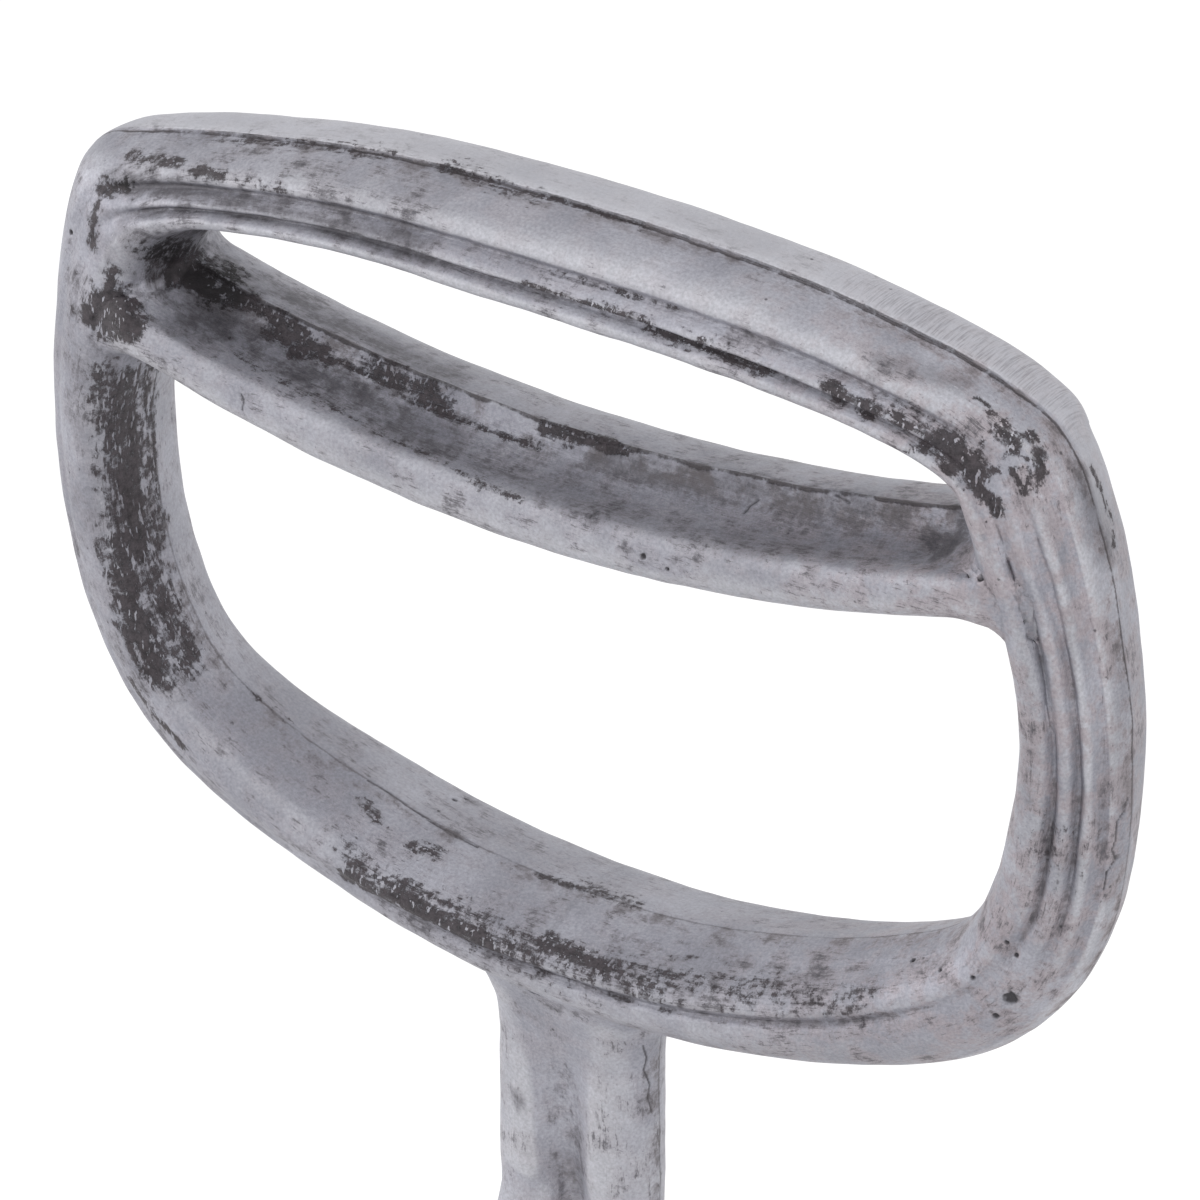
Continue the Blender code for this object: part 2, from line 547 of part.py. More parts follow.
def make_pivot(place, side, parts, cutters):
    """Bolt, washers, bush and lock nut of one ear."""
    zinc = metal_or_wood(f"zinc_steel_{place}", (0.42, 0.42, 0.40), 0.35, 1.0)
    at = (0, 0, PIVOT_Z)

    def ring(name, span, outer, bore):
        low, high = sided(span, side)
        profile = [(bore, low), (bore, high), (outer, high), (outer, low), (bore, low)]
        revolve(name, profile, parts, zinc, axis="X", at=at, steps=16)

    bolt = hexagon(f"pivot_bolt_{place}", BOLT_HEAD_RADIUS, sided(BOLT_HEAD_X, side), parts, zinc)
    low, high = sided((BOLT_END_X, BOLT_HEAD_X[0] + 2), side)
    profile = [(0, high), (BOLT_RADIUS, high), (BOLT_RADIUS, low), (0, low)]
    shank = revolve(f"bolt_shank_{place}", profile, cutters, axis="X", at=at)
    boolean(bolt, add_cutter(shank), "UNION")
    ring(f"outer_washer_{place}", OUTER_WASHER_X, WASHER_RADIUS, BOLT_HOLE_RADIUS)
    ring(f"pivot_bush_{place}", BUSH_X, BUSH_RADIUS, BOLT_HOLE_RADIUS)
    ring(f"inner_washer_{place}", INNER_WASHER_X, WASHER_RADIUS, BOLT_HOLE_RADIUS)
    nut = hexagon(f"lock_nut_{place}", BOLT_HEAD_RADIUS, sided(NUT_X, side), parts, zinc)
    middle = side * sum(NUT_X) / 2
    bore = cylinder_cutter(f"nut_bore_{place}", "X", (middle, 0, PIVOT_Z), BOLT_HOLE_RADIUS, 30, cutters)
    boolean(nut, bore, "DIFFERENCE")


def main():
    clear_scene()
    parts = new_collection("stirrup_hoe")
    cutters = new_collection("cutters")
    make_grip_casting(parts, cutters)
    make_shaft(parts, cutters)
    make_grip_rivets(parts)
    make_head_socket(parts, cutters)
    make_socket_rivet(parts)
    make_yoke(parts, cutters)
    make_yoke_rivets(parts)
    make_stirrup_blade(parts, cutters)
    for place, side in (("left", -1), ("right", 1)):
        make_pivot(place, side, parts, cutters)


main()
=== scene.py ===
import math

import bmesh
import bpy
import numpy as np
from mathutils import Matrix, Vector, noise
from mathutils.bvhtree import BVHTree
from mathutils.kdtree import KDTree


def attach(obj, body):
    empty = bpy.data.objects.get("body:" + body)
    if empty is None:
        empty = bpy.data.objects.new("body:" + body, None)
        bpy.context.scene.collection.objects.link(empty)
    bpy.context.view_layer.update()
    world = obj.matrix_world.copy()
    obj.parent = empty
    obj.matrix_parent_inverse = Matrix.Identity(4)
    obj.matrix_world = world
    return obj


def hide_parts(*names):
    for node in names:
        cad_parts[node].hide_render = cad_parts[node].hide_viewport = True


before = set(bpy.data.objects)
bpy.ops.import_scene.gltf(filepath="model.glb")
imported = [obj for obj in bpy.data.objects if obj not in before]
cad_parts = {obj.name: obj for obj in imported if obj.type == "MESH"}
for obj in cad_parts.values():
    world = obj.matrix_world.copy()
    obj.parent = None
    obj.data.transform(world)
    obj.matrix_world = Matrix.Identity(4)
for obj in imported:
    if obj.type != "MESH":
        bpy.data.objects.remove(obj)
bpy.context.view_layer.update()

# View of the photograph: the grip from the front right, 32 degrees down, through a long lens.
# The shaft and the stirrup run out of the frame below.
PHOTO_SIDE = 1200
PHOTO_FOCAL = 8316
SENSOR = 36.0
VIEW_YAW = math.radians(32)
VIEW_DROP = math.radians(32.34)
VIEW_TARGET = Vector((0.00248, 0, -0.0403))
VIEW_DISTANCE = 0.9743
view_back = Vector((math.sin(VIEW_YAW) * math.cos(VIEW_DROP), -math.cos(VIEW_YAW) * math.cos(VIEW_DROP),
                    math.sin(VIEW_DROP)))
view_right = Vector((math.cos(VIEW_YAW), math.sin(VIEW_YAW), 0))
view_up = view_back.cross(view_right)
view_place = VIEW_TARGET + VIEW_DISTANCE * view_back
camera_data = bpy.data.cameras.new("photo_camera")
camera_data.sensor_width = SENSOR
camera_data.lens = SENSOR * PHOTO_FOCAL / PHOTO_SIDE
camera = bpy.data.objects.new("photo_camera", camera_data)
bpy.context.scene.collection.objects.link(camera)
view_turn = Matrix((view_right, view_up, view_back)).transposed()
camera.matrix_world = Matrix.Translation(view_place) @ view_turn.to_4x4()
bpy.context.scene.camera = camera

# Grip casting: one sand casting in aluminium, a D-loop with a second grip bar and a fluted stem that forks.
# The two mould halves meet in a parting line on the middle plane; the back half stands a little proud.
# Sizes are millimetres; outlines run from the top down each side (x, z).
MM = 0.001
LOOP_OUTER_RIGHT = [(0, 11.8), (27.1, 11.1), (48.3, 7.9), (60.2, 4.1), (64.8, -0.2), (67.3, -5.9),
                    (70.5, -16.7), (73.1, -32.1), (73.6, -47), (71.7, -61.7), (66, -74.3), (56.1, -84.7),
                    (40, -91.3), (20, -95.0), (0, -95.6)]
LOOP_OUTER_LEFT = [(0, 11.8), (-27, 10.5), (-47.9, 6.9), (-60.1, 3.9), (-66.9, 1.5), (-69.9, -4.3),
                   (-72.0, -15.9), (-73.3, -32), (-72.6, -47), (-69.9, -61.3), (-63.9, -73.4),
                   (-53.5, -82.2), (-38.1, -88.2), (-19.3, -93), (0, -95.6)]
LOOP_INNER_RIGHT = [(0, 0.5), (25, -0.2), (43.3, -1.9), (51.5, -4.8), (54.1, -9.7), (55.8, -15.1),
                    (59.4, -22.8), (61.2, -33.9), (60, -46), (57.7, -57.1), (53, -67.2), (43.9, -72.8),
                    (32, -77.5), (16, -81.3), (0, -82.3)]
LOOP_INNER_LEFT = [(0, 0.5), (-25.1, 0.3), (-43.1, -2.1), (-50.6, -5.7), (-53.9, -9.9), (-55.9, -15.1),
                   (-58.7, -22.9), (-60.9, -33.9), (-60.3, -46), (-57.6, -57.1), (-52.2, -66.7),
                   (-43.6, -72.5), (-31.8, -77.1), (-16, -81.1), (0, -82.3)]
# Sections: share of the way from the inner to the outer outline, and half depth.
TOP_FRONT = [(0, 0), (0.045, 2.5), (0.115, 5), (0.155, 7.1), (0.19, 8.8), (0.26, 10.4), (0.345, 10.9),
             (0.4, 10.5), (0.455, 9.0), (0.505, 9.75), (0.555, 9.65), (0.615, 8.6), (0.665, 7.5),
             (0.75, 7.9), (0.86, 7.0), (0.94, 5), (0.985, 2.6), (1, 0)]
TOP_BACK = [(0, 0), (0.045, 2.5), (0.115, 5.2), (0.155, 7.6), (0.19, 9.4), (0.26, 10.7), (0.345, 11.1),
            (0.4, 10.6), (0.46, 9.9), (0.52, 9.9), (0.6, 9.8), (0.7, 9.4), (0.8, 8.9), (0.92, 8),
            (1.0, 6.4), (1.045, 4.2), (1.055, 0.5), (1, 0)]
SIDE_FRONT = [(0, 0), (0.02, 2.8), (0.06, 5.6), (0.115, 8), (0.19, 9.9), (0.29, 10.9), (0.4, 11.1),
              (0.475, 10.5), (0.525, 8.95), (0.58, 9.75), (0.645, 9.9), (0.695, 9.3), (0.727, 7.6),
              (0.775, 8), (0.845, 7.6), (0.9, 5), (0.96, 4.2), (1, 0)]
LEFT_FRONT = [(0, 0), (0.02, 2.8), (0.06, 5.6), (0.115, 8), (0.19, 9.9), (0.29, 10.8), (0.38, 11),
              (0.46, 10.7), (0.53, 10.3), (0.6, 9.8), (0.65, 9.2), (0.69, 8.7), (0.74, 8.4), (0.8, 7.7),
              (0.86, 6.4), (0.92, 4.5), (0.97, 2.4), (1, 0)]
BOTTOM_FRONT = [(0, 0), (0.02, 2.2), (0.045, 4.2), (0.08, 5.5), (0.12, 7.6), (0.18, 9.4), (0.25, 10.5),
                (0.31, 10.8), (0.36, 10.3), (0.395, 10.1), (0.435, 10.8), (0.51, 11), (0.61, 10.6),
                (0.71, 9.5), (0.8, 8), (0.88, 5.9), (0.95, 3.2), (1, 0)]
SIDE_BACK = [(0, 0), (0.02, 2.8), (0.06, 5.6), (0.115, 8), (0.19, 9.9), (0.29, 10.9), (0.42, 11.1),
             (0.525, 10.6), (0.575, 9.8), (0.63, 9.9), (0.695, 9.5), (0.75, 8.8), (0.805, 8.1), (0.87, 7.4),
             (0.92, 6), (0.96, 4.2), (0.99, 2), (1, 0)]
TOP_SHARE = [1, 1, 1, 0.8, 0.45, 0.15, 0, 0, 0, 0, 0, 0, 0, 0, 0]
BACK_SHARE = [1, 1, 1, 0.75, 0.05, 0, 0, 0, 0, 0, 0, 0, 0, 0, 0]
GROOVE_SHARE_RIGHT = [1, 1, 1, 0.4, 0.5, 1, 1, 1, 1, 0.8, 0.4, 0.5, 1, 1, 1]
GROOVE_SHARE_LEFT = [1, 1, 1, 1, 0.8, 0.9, 1, 1, 1, 1, 1, 1, 1, 1, 1]
BOTTOM_SHARE_RIGHT = [0, 0, 0, 0, 0, 0, 0, 0, 0, 0.1, 0.6, 1, 1, 1, 1]
BOTTOM_SHARE_LEFT = [0, 0, 0, 0, 0, 0, 0, 0, 0, 0, 0, 0, 0.2, 0.7, 1]
# Grooves lie in this band of the section; where their share is low they are smoothed over this many points.
GROOVE_BAND = (0.38, 0.9)
GROOVE_SPAN = 17
DEPTH_SHARE = [1.06, 1.01, 0.97, 0.92, 0.91, 0.91, 0.89, 0.83, 0.78, 0.75, 0.76, 0.85, 0.96, 1.03, 1.05]
LOOP_STEPS = 20
SECTION_STEPS = 3
# Second bar: share of its height and half depth. A trough runs along its front above the bead.
BAR_FRONT = [(0, 0), (0.03, 4.5), (0.11, 8.4), (0.24, 10.4), (0.4, 11), (0.54, 10.9), (0.63, 10.4),
             (0.68, 9.5), (0.69, 8.1), (0.685, 6.2), (0.71, 4), (0.79, 1.9), (0.9, 0.8), (1, 0)]
BAR_BACK = [(0, 0), (0.03, 4.5), (0.11, 8.4), (0.24, 10.4), (0.4, 11), (0.53, 11), (0.66, 10.6), (0.8, 9.1),
            (0.91, 6.6), (0.985, 3.4), (1.015, 0.5), (1, 0)]
BAR_MIDDLE_Z = -24.6
BAR_TILT = 0.011
BAR_SAG_RADIUS = 195.0
BAR_THICKNESS = 12.6
BAR_THINNING = 1.4
BAR_END_X = 65.0
BAR_TAPER_X = (48, 58, 65)
BAR_TAPER = (1, 0.97, 0.82)
# Flares at its ends: where they start and their radius, below, above on the left and above on the right.
BAR_UNDER_FLARE = (53.5, 9.0)
BAR_OVER_FLARE = {-1: (54.5, 3.5), 1: (57.0, 2.0)}
FLARE_TURN = 0.96
BAR_STATIONS = 180
# Stem: z, half width in x, half depth in y, depth of the flute along its middle.
STEM_STATIONS = [(-87.5, 14.3, 7.5, 0), (-92, 14.0, 8.4, 0), (-96, 12.4, 7.2, 0), (-99, 11.3, 6.3, 0.1),
                 (-103, 10.9, 5.7, 0.5), (-107, 10.9, 5.6, 1.5), (-114, 11, 5.5, 2.3), (-121, 11.1, 5.4, 3.1),
                 (-126, 11.1, 4.7, 3.7), (-128.5, 11.1, 4.5, 4)]
STEM_RIB_X = 5.0
STEM_BLUNTNESS = 0.85
STEM_SIDES = 72
# Fork legs: z, centre x, half thickness in x, half width in y, squareness of the section.
LEG_STATIONS = [(-108, 5.4, 4.6, 4.9, 2), (-116, 5.4, 4.7, 5.0, 2), (-128, 6.2, 4.65, 5.0, 2),
                (-140, 9.6, 3.9, 5.8, 2.6), (-152, 13.4, 2.9, 7.2, 4), (-162, 14.8, 2.6, 8.0, 5),
                (-222, 14.8, 2.6, 8.0, 5), (-228, 14.8, 2.6, 6.6, 4), (-231, 14.8, 2.4, 4.2, 3)]
LEG_STEPS = 8
LEG_SIDES = 40
# Streaks run along each member, so each has its own stretch of the pattern.
BAR_FLOW_SHIFT = (600.0, 0, 40)
STEM_FLOW_SHIFT = 1000
# Fillets where the bars meet: how far they reach in millimetres and how often they are smoothed.
UNDER_BAR_FILLET = (12.0, 500)
OVER_BAR_FILLET = (5.0, 80)
STEM_FILLET = (5.0, 60)
FILLET_HOLD = 1.5
STEM_CUT_Z = (-100, -80)
UNDER_BAR_Z = BAR_MIDDLE_Z + 8
CUT_GAP = 0.002
# Waviness of a skin that was filed by hand: height, and two wave lengths with the share of the shorter one.
HAND_WAVE = 0.13
HAND_WAVE_LENGTHS = (9, 3.5)
SHORT_WAVE_SHARE = 0.6
RIVET_HOLE_RADIUS = 3.3
RIVET_HOLE_Z = (-182.0, -212.0)


def through(points, steps, closed):
    """Smooth curve through rows of numbers."""
    rows = np.asarray(points, float)
    if closed:
        rows = np.vstack([rows[-1:], rows, rows[:2]])
    else:
        rows = np.vstack([rows[:1], rows, rows[-1:]])
    t = (np.arange(steps) / steps)[None, :, None]
    a, b, c, d = rows[:-3, None], rows[1:-2, None], rows[2:-1, None], rows[3:, None]
    square = 2 * a - 5 * b + 4 * c - d
    cube = 3 * b - a - 3 * c + d
    curve = 0.5 * (2 * b + (c - a) * t + square * t ** 2 + cube * t ** 3)
    curve = curve.reshape(-1, rows.shape[1])
    return curve if closed else np.vstack([curve, rows[-1:]])


def both_halves(front, back):
    """Closed section: front half (-y) up, back half down."""
    rear = list(reversed(back[1:-1]))
    return [(share, -depth) for share, depth in front] + rear


def skin_faces(rings, around, closed):
    """Quads between rings of a sweep, and flat caps where it is open."""
    last = rings if closed else rings - 1
    faces = [(k * around + j, k * around + (j + 1) % around, (k + 1) % rings * around + (j + 1) % around,
              (k + 1) % rings * around + j) for k in range(last) for j in range(around)]
    if not closed:
        faces += [tuple(range(around - 1, -1, -1)), tuple(range((rings - 1) * around, rings * around))]
    return faces


def solid(name, points, faces):
    """Mesh object from points in millimetres, faces outwards."""
    mesh = bpy.data.meshes.new(name)
    mesh.from_pydata((np.asarray(points) * MM).tolist(), [], faces)
    build = bmesh.new()
    build.from_mesh(mesh)
    bmesh.ops.recalc_face_normals(build, faces=build.faces)
    build.to_mesh(mesh)
    build.free()
    mesh.shade_smooth()
    thing = bpy.data.objects.new(name, mesh)
    bpy.context.scene.collection.objects.link(thing)
    return thing


def right_then_left(right, left):
    """Closed row from the top down the right side and up the left."""
    return list(right) + list(left)[-2:0:-1]


def loop_sweep():
    """Loop: its section changes from top to side to bottom as it goes round."""
    outer = through(right_then_left(LOOP_OUTER_RIGHT, LOOP_OUTER_LEFT), LOOP_STEPS, True)
    inner = through(right_then_left(LOOP_INNER_RIGHT, LOOP_INNER_LEFT), LOOP_STEPS, True)
    right_shares = zip(TOP_SHARE, DEPTH_SHARE, GROOVE_SHARE_RIGHT, BACK_SHARE, BOTTOM_SHARE_RIGHT)
    left_shares = zip(TOP_SHARE, DEPTH_SHARE, GROOVE_SHARE_LEFT, BACK_SHARE, BOTTOM_SHARE_LEFT)
    share = through(right_then_left(right_shares, left_shares), LOOP_STEPS, True)
    top = through(both_halves(TOP_FRONT, TOP_BACK), SECTION_STEPS, True)
    side = through(both_halves(SIDE_FRONT, SIDE_BACK), SECTION_STEPS, True)
    left = through(both_halves(LEFT_FRONT, SIDE_BACK), SECTION_STEPS, True)
    bottom = through(both_halves(BOTTOM_FRONT, SIDE_BACK), SECTION_STEPS, True)
    like_top = np.where(top[:, 1] > 0, share[:, 3:4], share[:, :1])[..., None]
    upright = np.where(outer[:, :1, None] < 0, left[None], side[None])
    section = upright + like_top * (top[None] - upright)
    section = section + share[:, None, 4:] * (bottom[None] - section)
    across = section[..., :1]
    blur = np.ones(GROOVE_SPAN) / GROOVE_SPAN
    plain = np.array([np.convolve(np.tile(ring, 3), blur, "same")[len(ring):2 * len(ring)]
                      for ring in section[..., 1]])
    fluted = (section[..., 0] > GROOVE_BAND[0]) & (section[..., 0] < GROOVE_BAND[1])
    grooves = np.where(fluted, share[:, None, 2], 1)
    depth = (plain + grooves * (section[..., 1] - plain)) * share[:, None, 1]
    plane = inner[:, None] + across * (outer - inner)[:, None]
    points = np.stack([plane[..., 0], depth, plane[..., 1]], axis=-1)
    middle = (outer + inner) / 2
    run = np.cumsum(np.linalg.norm(np.roll(middle, -1, 0) - middle, axis=1))
    half = len(run) // 2
    second_half = np.arange(len(run)) >= len(run) - half
    along = np.roll(np.roll(run, -half) - run[half] + second_half * run[-1], half)
    thick = np.linalg.norm(outer - inner, axis=1)[:, None]
    flow = np.stack([along[:, None] + 0 * depth, section[..., 0] * thick, depth], axis=-1)
    return points.reshape(-1, 3), flow.reshape(-1, 3), skin_faces(len(outer), len(top), True)


def flare(x, start, radius):
    """Rise of a quarter round that starts at some x."""
    run = np.clip(x - start, 0, FLARE_TURN * radius)
    return radius - np.sqrt(radius * radius - run * run)


def bar_sweep():
    """Second bar: it sags, and flares where it runs into the loop."""
    x = np.linspace(-BAR_END_X, BAR_END_X, BAR_STATIONS)
    middle = BAR_MIDDLE_Z + BAR_TILT * x + x * x / (2 * BAR_SAG_RADIUS)
    section = through(both_halves(BAR_FRONT, BAR_BACK), SECTION_STEPS, True)
    low = flare(np.abs(x), *BAR_UNDER_FLARE)[:, None]
    high = np.where(x < 0, flare(-x, *BAR_OVER_FLARE[-1]), flare(x, *BAR_OVER_FLARE[1]))[:, None]
    up = section[None, :, 0]
    thick = (BAR_THICKNESS - BAR_THINNING * np.clip(x / BAR_TAPER_X[0], -1, 1) ** 2)[:, None]
    z = middle[:, None] + (up - 0.5) * thick + up * high - (1 - up) * low
    taper = np.interp(np.abs(x), BAR_TAPER_X, BAR_TAPER)[:, None]
    points = np.stack([x[:, None] + 0 * z, section[None, :, 1] * taper, z], axis=-1)
    flow = points + np.array(BAR_FLOW_SHIFT)
    return points.reshape(-1, 3), flow.reshape(-1, 3), skin_faces(len(x), len(section), False)


def stem_sweep():
    """Stem: a blunt oval with a flute front and back that deepens towards the fork."""
    z, wide, deep, flute = through(STEM_STATIONS, LEG_STEPS, False).T[:, :, None]
    angle = np.linspace(0, 2 * math.pi, STEM_SIDES, endpoint=False)[None]
    x = wide * np.sign(np.cos(angle)) * np.abs(np.cos(angle)) ** STEM_BLUNTNESS
    end = np.clip((np.abs(x) - STEM_RIB_X) / np.maximum(wide - STEM_RIB_X, 1), 0, 1)
    dent = flute * (0.5 + 0.5 * np.cos(np.clip(x / STEM_RIB_X, -1, 1) * math.pi))
    y = np.sign(np.sin(angle)) * (deep * np.sqrt(1 - end ** 2) - dent)
    points = np.stack([x, y, z + 0 * x], axis=-1)
    flow = np.stack([z + STEM_FLOW_SHIFT + 0 * x, x, y], axis=-1)
    return points.reshape(-1, 3), flow.reshape(-1, 3), skin_faces(len(z), STEM_SIDES, False)


def leg_sweep(side):
    """Fork leg: round at the stem, flat where it lies against the shaft."""
    z, centre, thick, width, square = through(LEG_STATIONS, LEG_STEPS, False).T[:, :, None]
    angle = np.linspace(0, 2 * math.pi, LEG_SIDES, endpoint=False)[None]
    c, s = np.cos(angle), np.sin(angle)
    x = side * centre + thick * np.sign(c) * np.abs(c) ** (2 / square)
    y = width * np.sign(s) * np.abs(s) ** (2 / square)
    points = np.stack([x, y, z + 0 * x], axis=-1)
    flow = np.stack([z + STEM_FLOW_SHIFT + 0 * x, x, y], axis=-1)
    return points.reshape(-1, 3), flow.reshape(-1, 3), skin_faces(len(z), LEG_SIDES, False)


def points_of(mesh):
    """Places of a mesh's points, in metres."""
    flat = np.empty(len(mesh.vertices) * 3, np.float32)
    mesh.vertices.foreach_get("co", flat)
    return flat.reshape(-1, 3)


def normals_of(mesh):
    """Directions that stand out from a mesh at its points."""
    flat = np.empty(len(mesh.vertices) * 3, np.float32)
    mesh.vertex_normals.foreach_get("vector", flat)
    return flat.reshape(-1, 3)


def move_points(mesh, points):
    """Put a mesh's points at new places."""
    mesh.vertices.foreach_set("co", points.astype(np.float32).ravel())
    mesh.update()


def noise_at(points, length):
    """Noise at points in metres, for a wave length in millimetres."""
    return np.array([noise.noise(Vector(p) / (length * MM)) for p in points])


def tree_of(points):
    """Search tree for the nearest of some points."""
    tree = KDTree(len(points))
    for k, p in enumerate(points):
        tree.insert(p, k)
    tree.balance()
    return tree


members, flows = [], []
for points, flow, faces in (loop_sweep(), bar_sweep(), stem_sweep(), leg_sweep(-1), leg_sweep(1)):
    member = solid("grip_member", points, faces)
    moved = points_of(member.data)
    wave = noise_at(moved, HAND_WAVE_LENGTHS[0]) + SHORT_WAVE_SHARE * noise_at(moved, HAND_WAVE_LENGTHS[1])
    move_points(member.data, moved + normals_of(member.data) * (wave * HAND_WAVE * MM)[:, None])
    members.append(member)
    flows.append(flow)
member_points = np.vstack([points_of(member.data) for member in members])
member_flow = np.vstack(flows)


def join(thing, other, operation):
    """Boolean with another object, which is used up."""
    step = thing.modifiers.new(operation, "BOOLEAN")
    step.operation = operation
    step.solver = "MANIFOLD"
    step.object = other
    mesh = bpy.data.meshes.new_from_object(thing.evaluated_get(bpy.context.evaluated_depsgraph_get()))
    thing.modifiers.remove(step)
    thing.data = mesh
    bpy.data.objects.remove(other, do_unlink=True)


grip = members[0]
grip.name = "grip_cast"
for member in members[1:]:
    join(grip, member, "UNION")


def smooth_rows(values, edges, count, rounds):
    """Average each point's values with its neighbours', several times."""
    one, two = edges
    total = np.bincount(one, minlength=count) + np.bincount(two, minlength=count)
    for _ in range(rounds):
        summed = np.stack([np.bincount(one, values[two, k], count) + np.bincount(two, values[one, k], count)
                           for k in range(values.shape[1])], axis=-1)
        values = 0.5 * values + 0.5 * summed / np.maximum(total, 1)[:, None]
    return values


def edges_of(mesh):
    """First and second point of every edge."""
    flat = np.empty(len(mesh.edges) * 2, np.int32)
    mesh.edges.foreach_get("vertices", flat)
    return flat.reshape(-1, 2).T


def fillet(thing, where, reach, rounds):
    """Fill the crease along some points outwards, as a moulder's fillet does."""
    points = points_of(thing.data).astype(float)
    edges = edges_of(thing.data)
    crease = tree_of(where)
    gap = np.array([crease.find(p)[2] for p in points]) / MM
    near = gap < reach
    weight = np.clip(FILLET_HOLD * (1 - gap / reach), 0, 1)[:, None]
    inside = near[edges[0]] | near[edges[1]]
    used = np.unique(np.concatenate([np.flatnonzero(near), edges[:, inside].ravel()]))
    few = np.searchsorted(used, edges[:, inside])
    start = points[used]
    moved = start.copy()
    for _ in range(rounds):
        moved += (smooth_rows(moved, few, len(used), 1) - moved) * weight[used]
    normal = normals_of(thing.data)[used]
    rise = np.maximum(((moved - start) * normal).sum(1), 0)[:, None]
    points[used] = start + np.where(rise > 0, moved - start, 0)
    move_points(thing.data, points)


def drill(thing, axis, place, radius, sides=32, reach=60):
    """Through hole along an axis, sizes in millimetres."""
    ring = np.linspace(0, 2 * math.pi, sides, endpoint=False)
    circle = np.zeros((sides, 3))
    circle[:, (axis + 1) % 3] = np.cos(ring) * radius
    circle[:, (axis + 2) % 3] = np.sin(ring) * radius
    length = np.eye(3)[axis] * reach / 2
    points = np.vstack([circle - length, circle + length]) + np.asarray(place)
    join(thing, solid("drill_bit", points, skin_faces(2, sides, False)), "DIFFERENCE")


nearest = tree_of(member_points)
cut_line = np.array([p for p in points_of(grip.data) if nearest.find(p)[2] > CUT_GAP * MM])
at_stem = cut_line[:, 2] < STEM_CUT_Z[1] * MM
under_bar = ~at_stem & (cut_line[:, 2] < UNDER_BAR_Z * MM)
fillet(grip, cut_line[under_bar], *UNDER_BAR_FILLET)
fillet(grip, cut_line[~at_stem & ~under_bar], *OVER_BAR_FILLET)
fillet(grip, cut_line[at_stem & (cut_line[:, 2] > STEM_CUT_Z[0] * MM)], *STEM_FILLET)
for z in RIVET_HOLE_Z:
    drill(grip, 0, (0, 0, z), RIVET_HOLE_RADIUS)

# Marks of casting and use, as photograph pixels: cracks and scratches with their half width, pits with their
# radius, both in millimetres. Their edges are broken up by fine noise.
CRACKS = [
    ([(1128, 798), (1124, 812), (1117, 822), (1116, 840), (1112, 850), (1116, 858), (1107, 872), (1104, 890)],
     0.12),
    ([(241, 394), (244, 401), (242, 410)], 0.1),
    ([(643, 1046), (647, 1058), (644, 1070), (650, 1085), (648, 1098), (652, 1112)], 0.11),
    ([(368, 780), (393, 795), (426, 818), (449, 833), (477, 847)], 0.1),
    ([(744, 513), (751, 505), (759, 500)], 0.1), ([(589, 518), (598, 511)], 0.09),
    ([(836, 495), (850, 503)], 0.1),
]
PITS = [((1011, 998), 0.85), ((996, 1016), 0.4), ((973, 978), 0.35), ((1016, 955), 0.32), ((1007, 943), 0.32),
        ((913, 960), 0.32), ((940, 970), 0.28), ((981, 578), 0.42), ((643, 557), 0.4), ((667, 569), 0.25),
        ((455, 800), 0.3), ((466, 799), 0.22), ((71, 232), 0.35)]
PIT_DEPTH = 0.28
CRACK_DEPTH = 0.14
MARK_CLEARANCE = 1.1
MARK_CUTS = 3
MARK_GRAIN = 0.45
CRACK_RAGGED = 0.7
CRACK_TONE = 0.85
CRACK_EDGE = 1.6
PIT_RAGGED = 0.45
PIT_EDGE = 2.6
PIT_BOWL = 1.2
HOLLOW_ROUNDS = 30
grip_tree = BVHTree.FromPolygons([v.co.copy() for v in grip.data.vertices],
                                 [tuple(p.vertices) for p in grip.data.polygons])


def on_casting(pixel):
    """Where the photograph's pixel lies on the casting."""
    u, v = (pixel[0] - PHOTO_SIDE / 2) / PHOTO_FOCAL, (PHOTO_SIDE / 2 - pixel[1]) / PHOTO_FOCAL
    toward = (view_right * u + view_up * v - view_back).normalized()
    return grip_tree.ray_cast(view_place, toward)[0]


def from_line(points, pixels):
    """Distance in millimetres of points from a line drawn on the casting."""
    places = [np.array(p) for p in (on_casting(q) for q in pixels) if p is not None]
    gaps = []
    for a, b in zip(places, places[1:] or places):
        span = b - a
        t = np.clip((points - a) @ span / max(span @ span, 1e-12), 0, 1)
        gaps.append(np.linalg.norm(points - a - t[:, None] * span, axis=1))
    return np.min(gaps, axis=0) / MM


# The skin gets finer faces along the marks, so that they are cut into it.
grip_points = points_of(grip.data).astype(float)
gaps = [from_line(grip_points, pixels) for pixels, _ in CRACKS]
gaps += [from_line(grip_points, [pixel]) - radius for pixel, radius in PITS]
close = np.min(gaps, axis=0) < MARK_CLEARANCE
build = bmesh.new()
build.from_mesh(grip.data)
build.verts.ensure_lookup_table()
marked = [edge for edge in build.edges if close[edge.verts[0].index] and close[edge.verts[1].index]]
bmesh.ops.subdivide_edges(build, edges=marked, cuts=MARK_CUTS, use_grid_fill=True)
bmesh.ops.triangulate(build, faces=[face for face in build.faces if len(face.verts) > 4])
build.to_mesh(grip.data)
build.free()
grip_points = points_of(grip.data).astype(float)


def hollow_of(mesh, rounds):
    """Depth in millimetres by which each point lies under its smoothed neighbourhood."""
    points = points_of(mesh).astype(float)
    smooth = smooth_rows(points, edges_of(mesh), len(points), rounds)
    return ((smooth - points) * normals_of(mesh)).sum(1) / MM


def give(mesh, name, values):
    """Point attribute for a material."""
    values = np.asarray(values, np.float32)
    vector = values.ndim > 1
    layer = mesh.attributes.new(name, "FLOAT_VECTOR" if vector else "FLOAT", "POINT")
    layer.data.foreach_set("vector" if vector else "value", values.ravel())


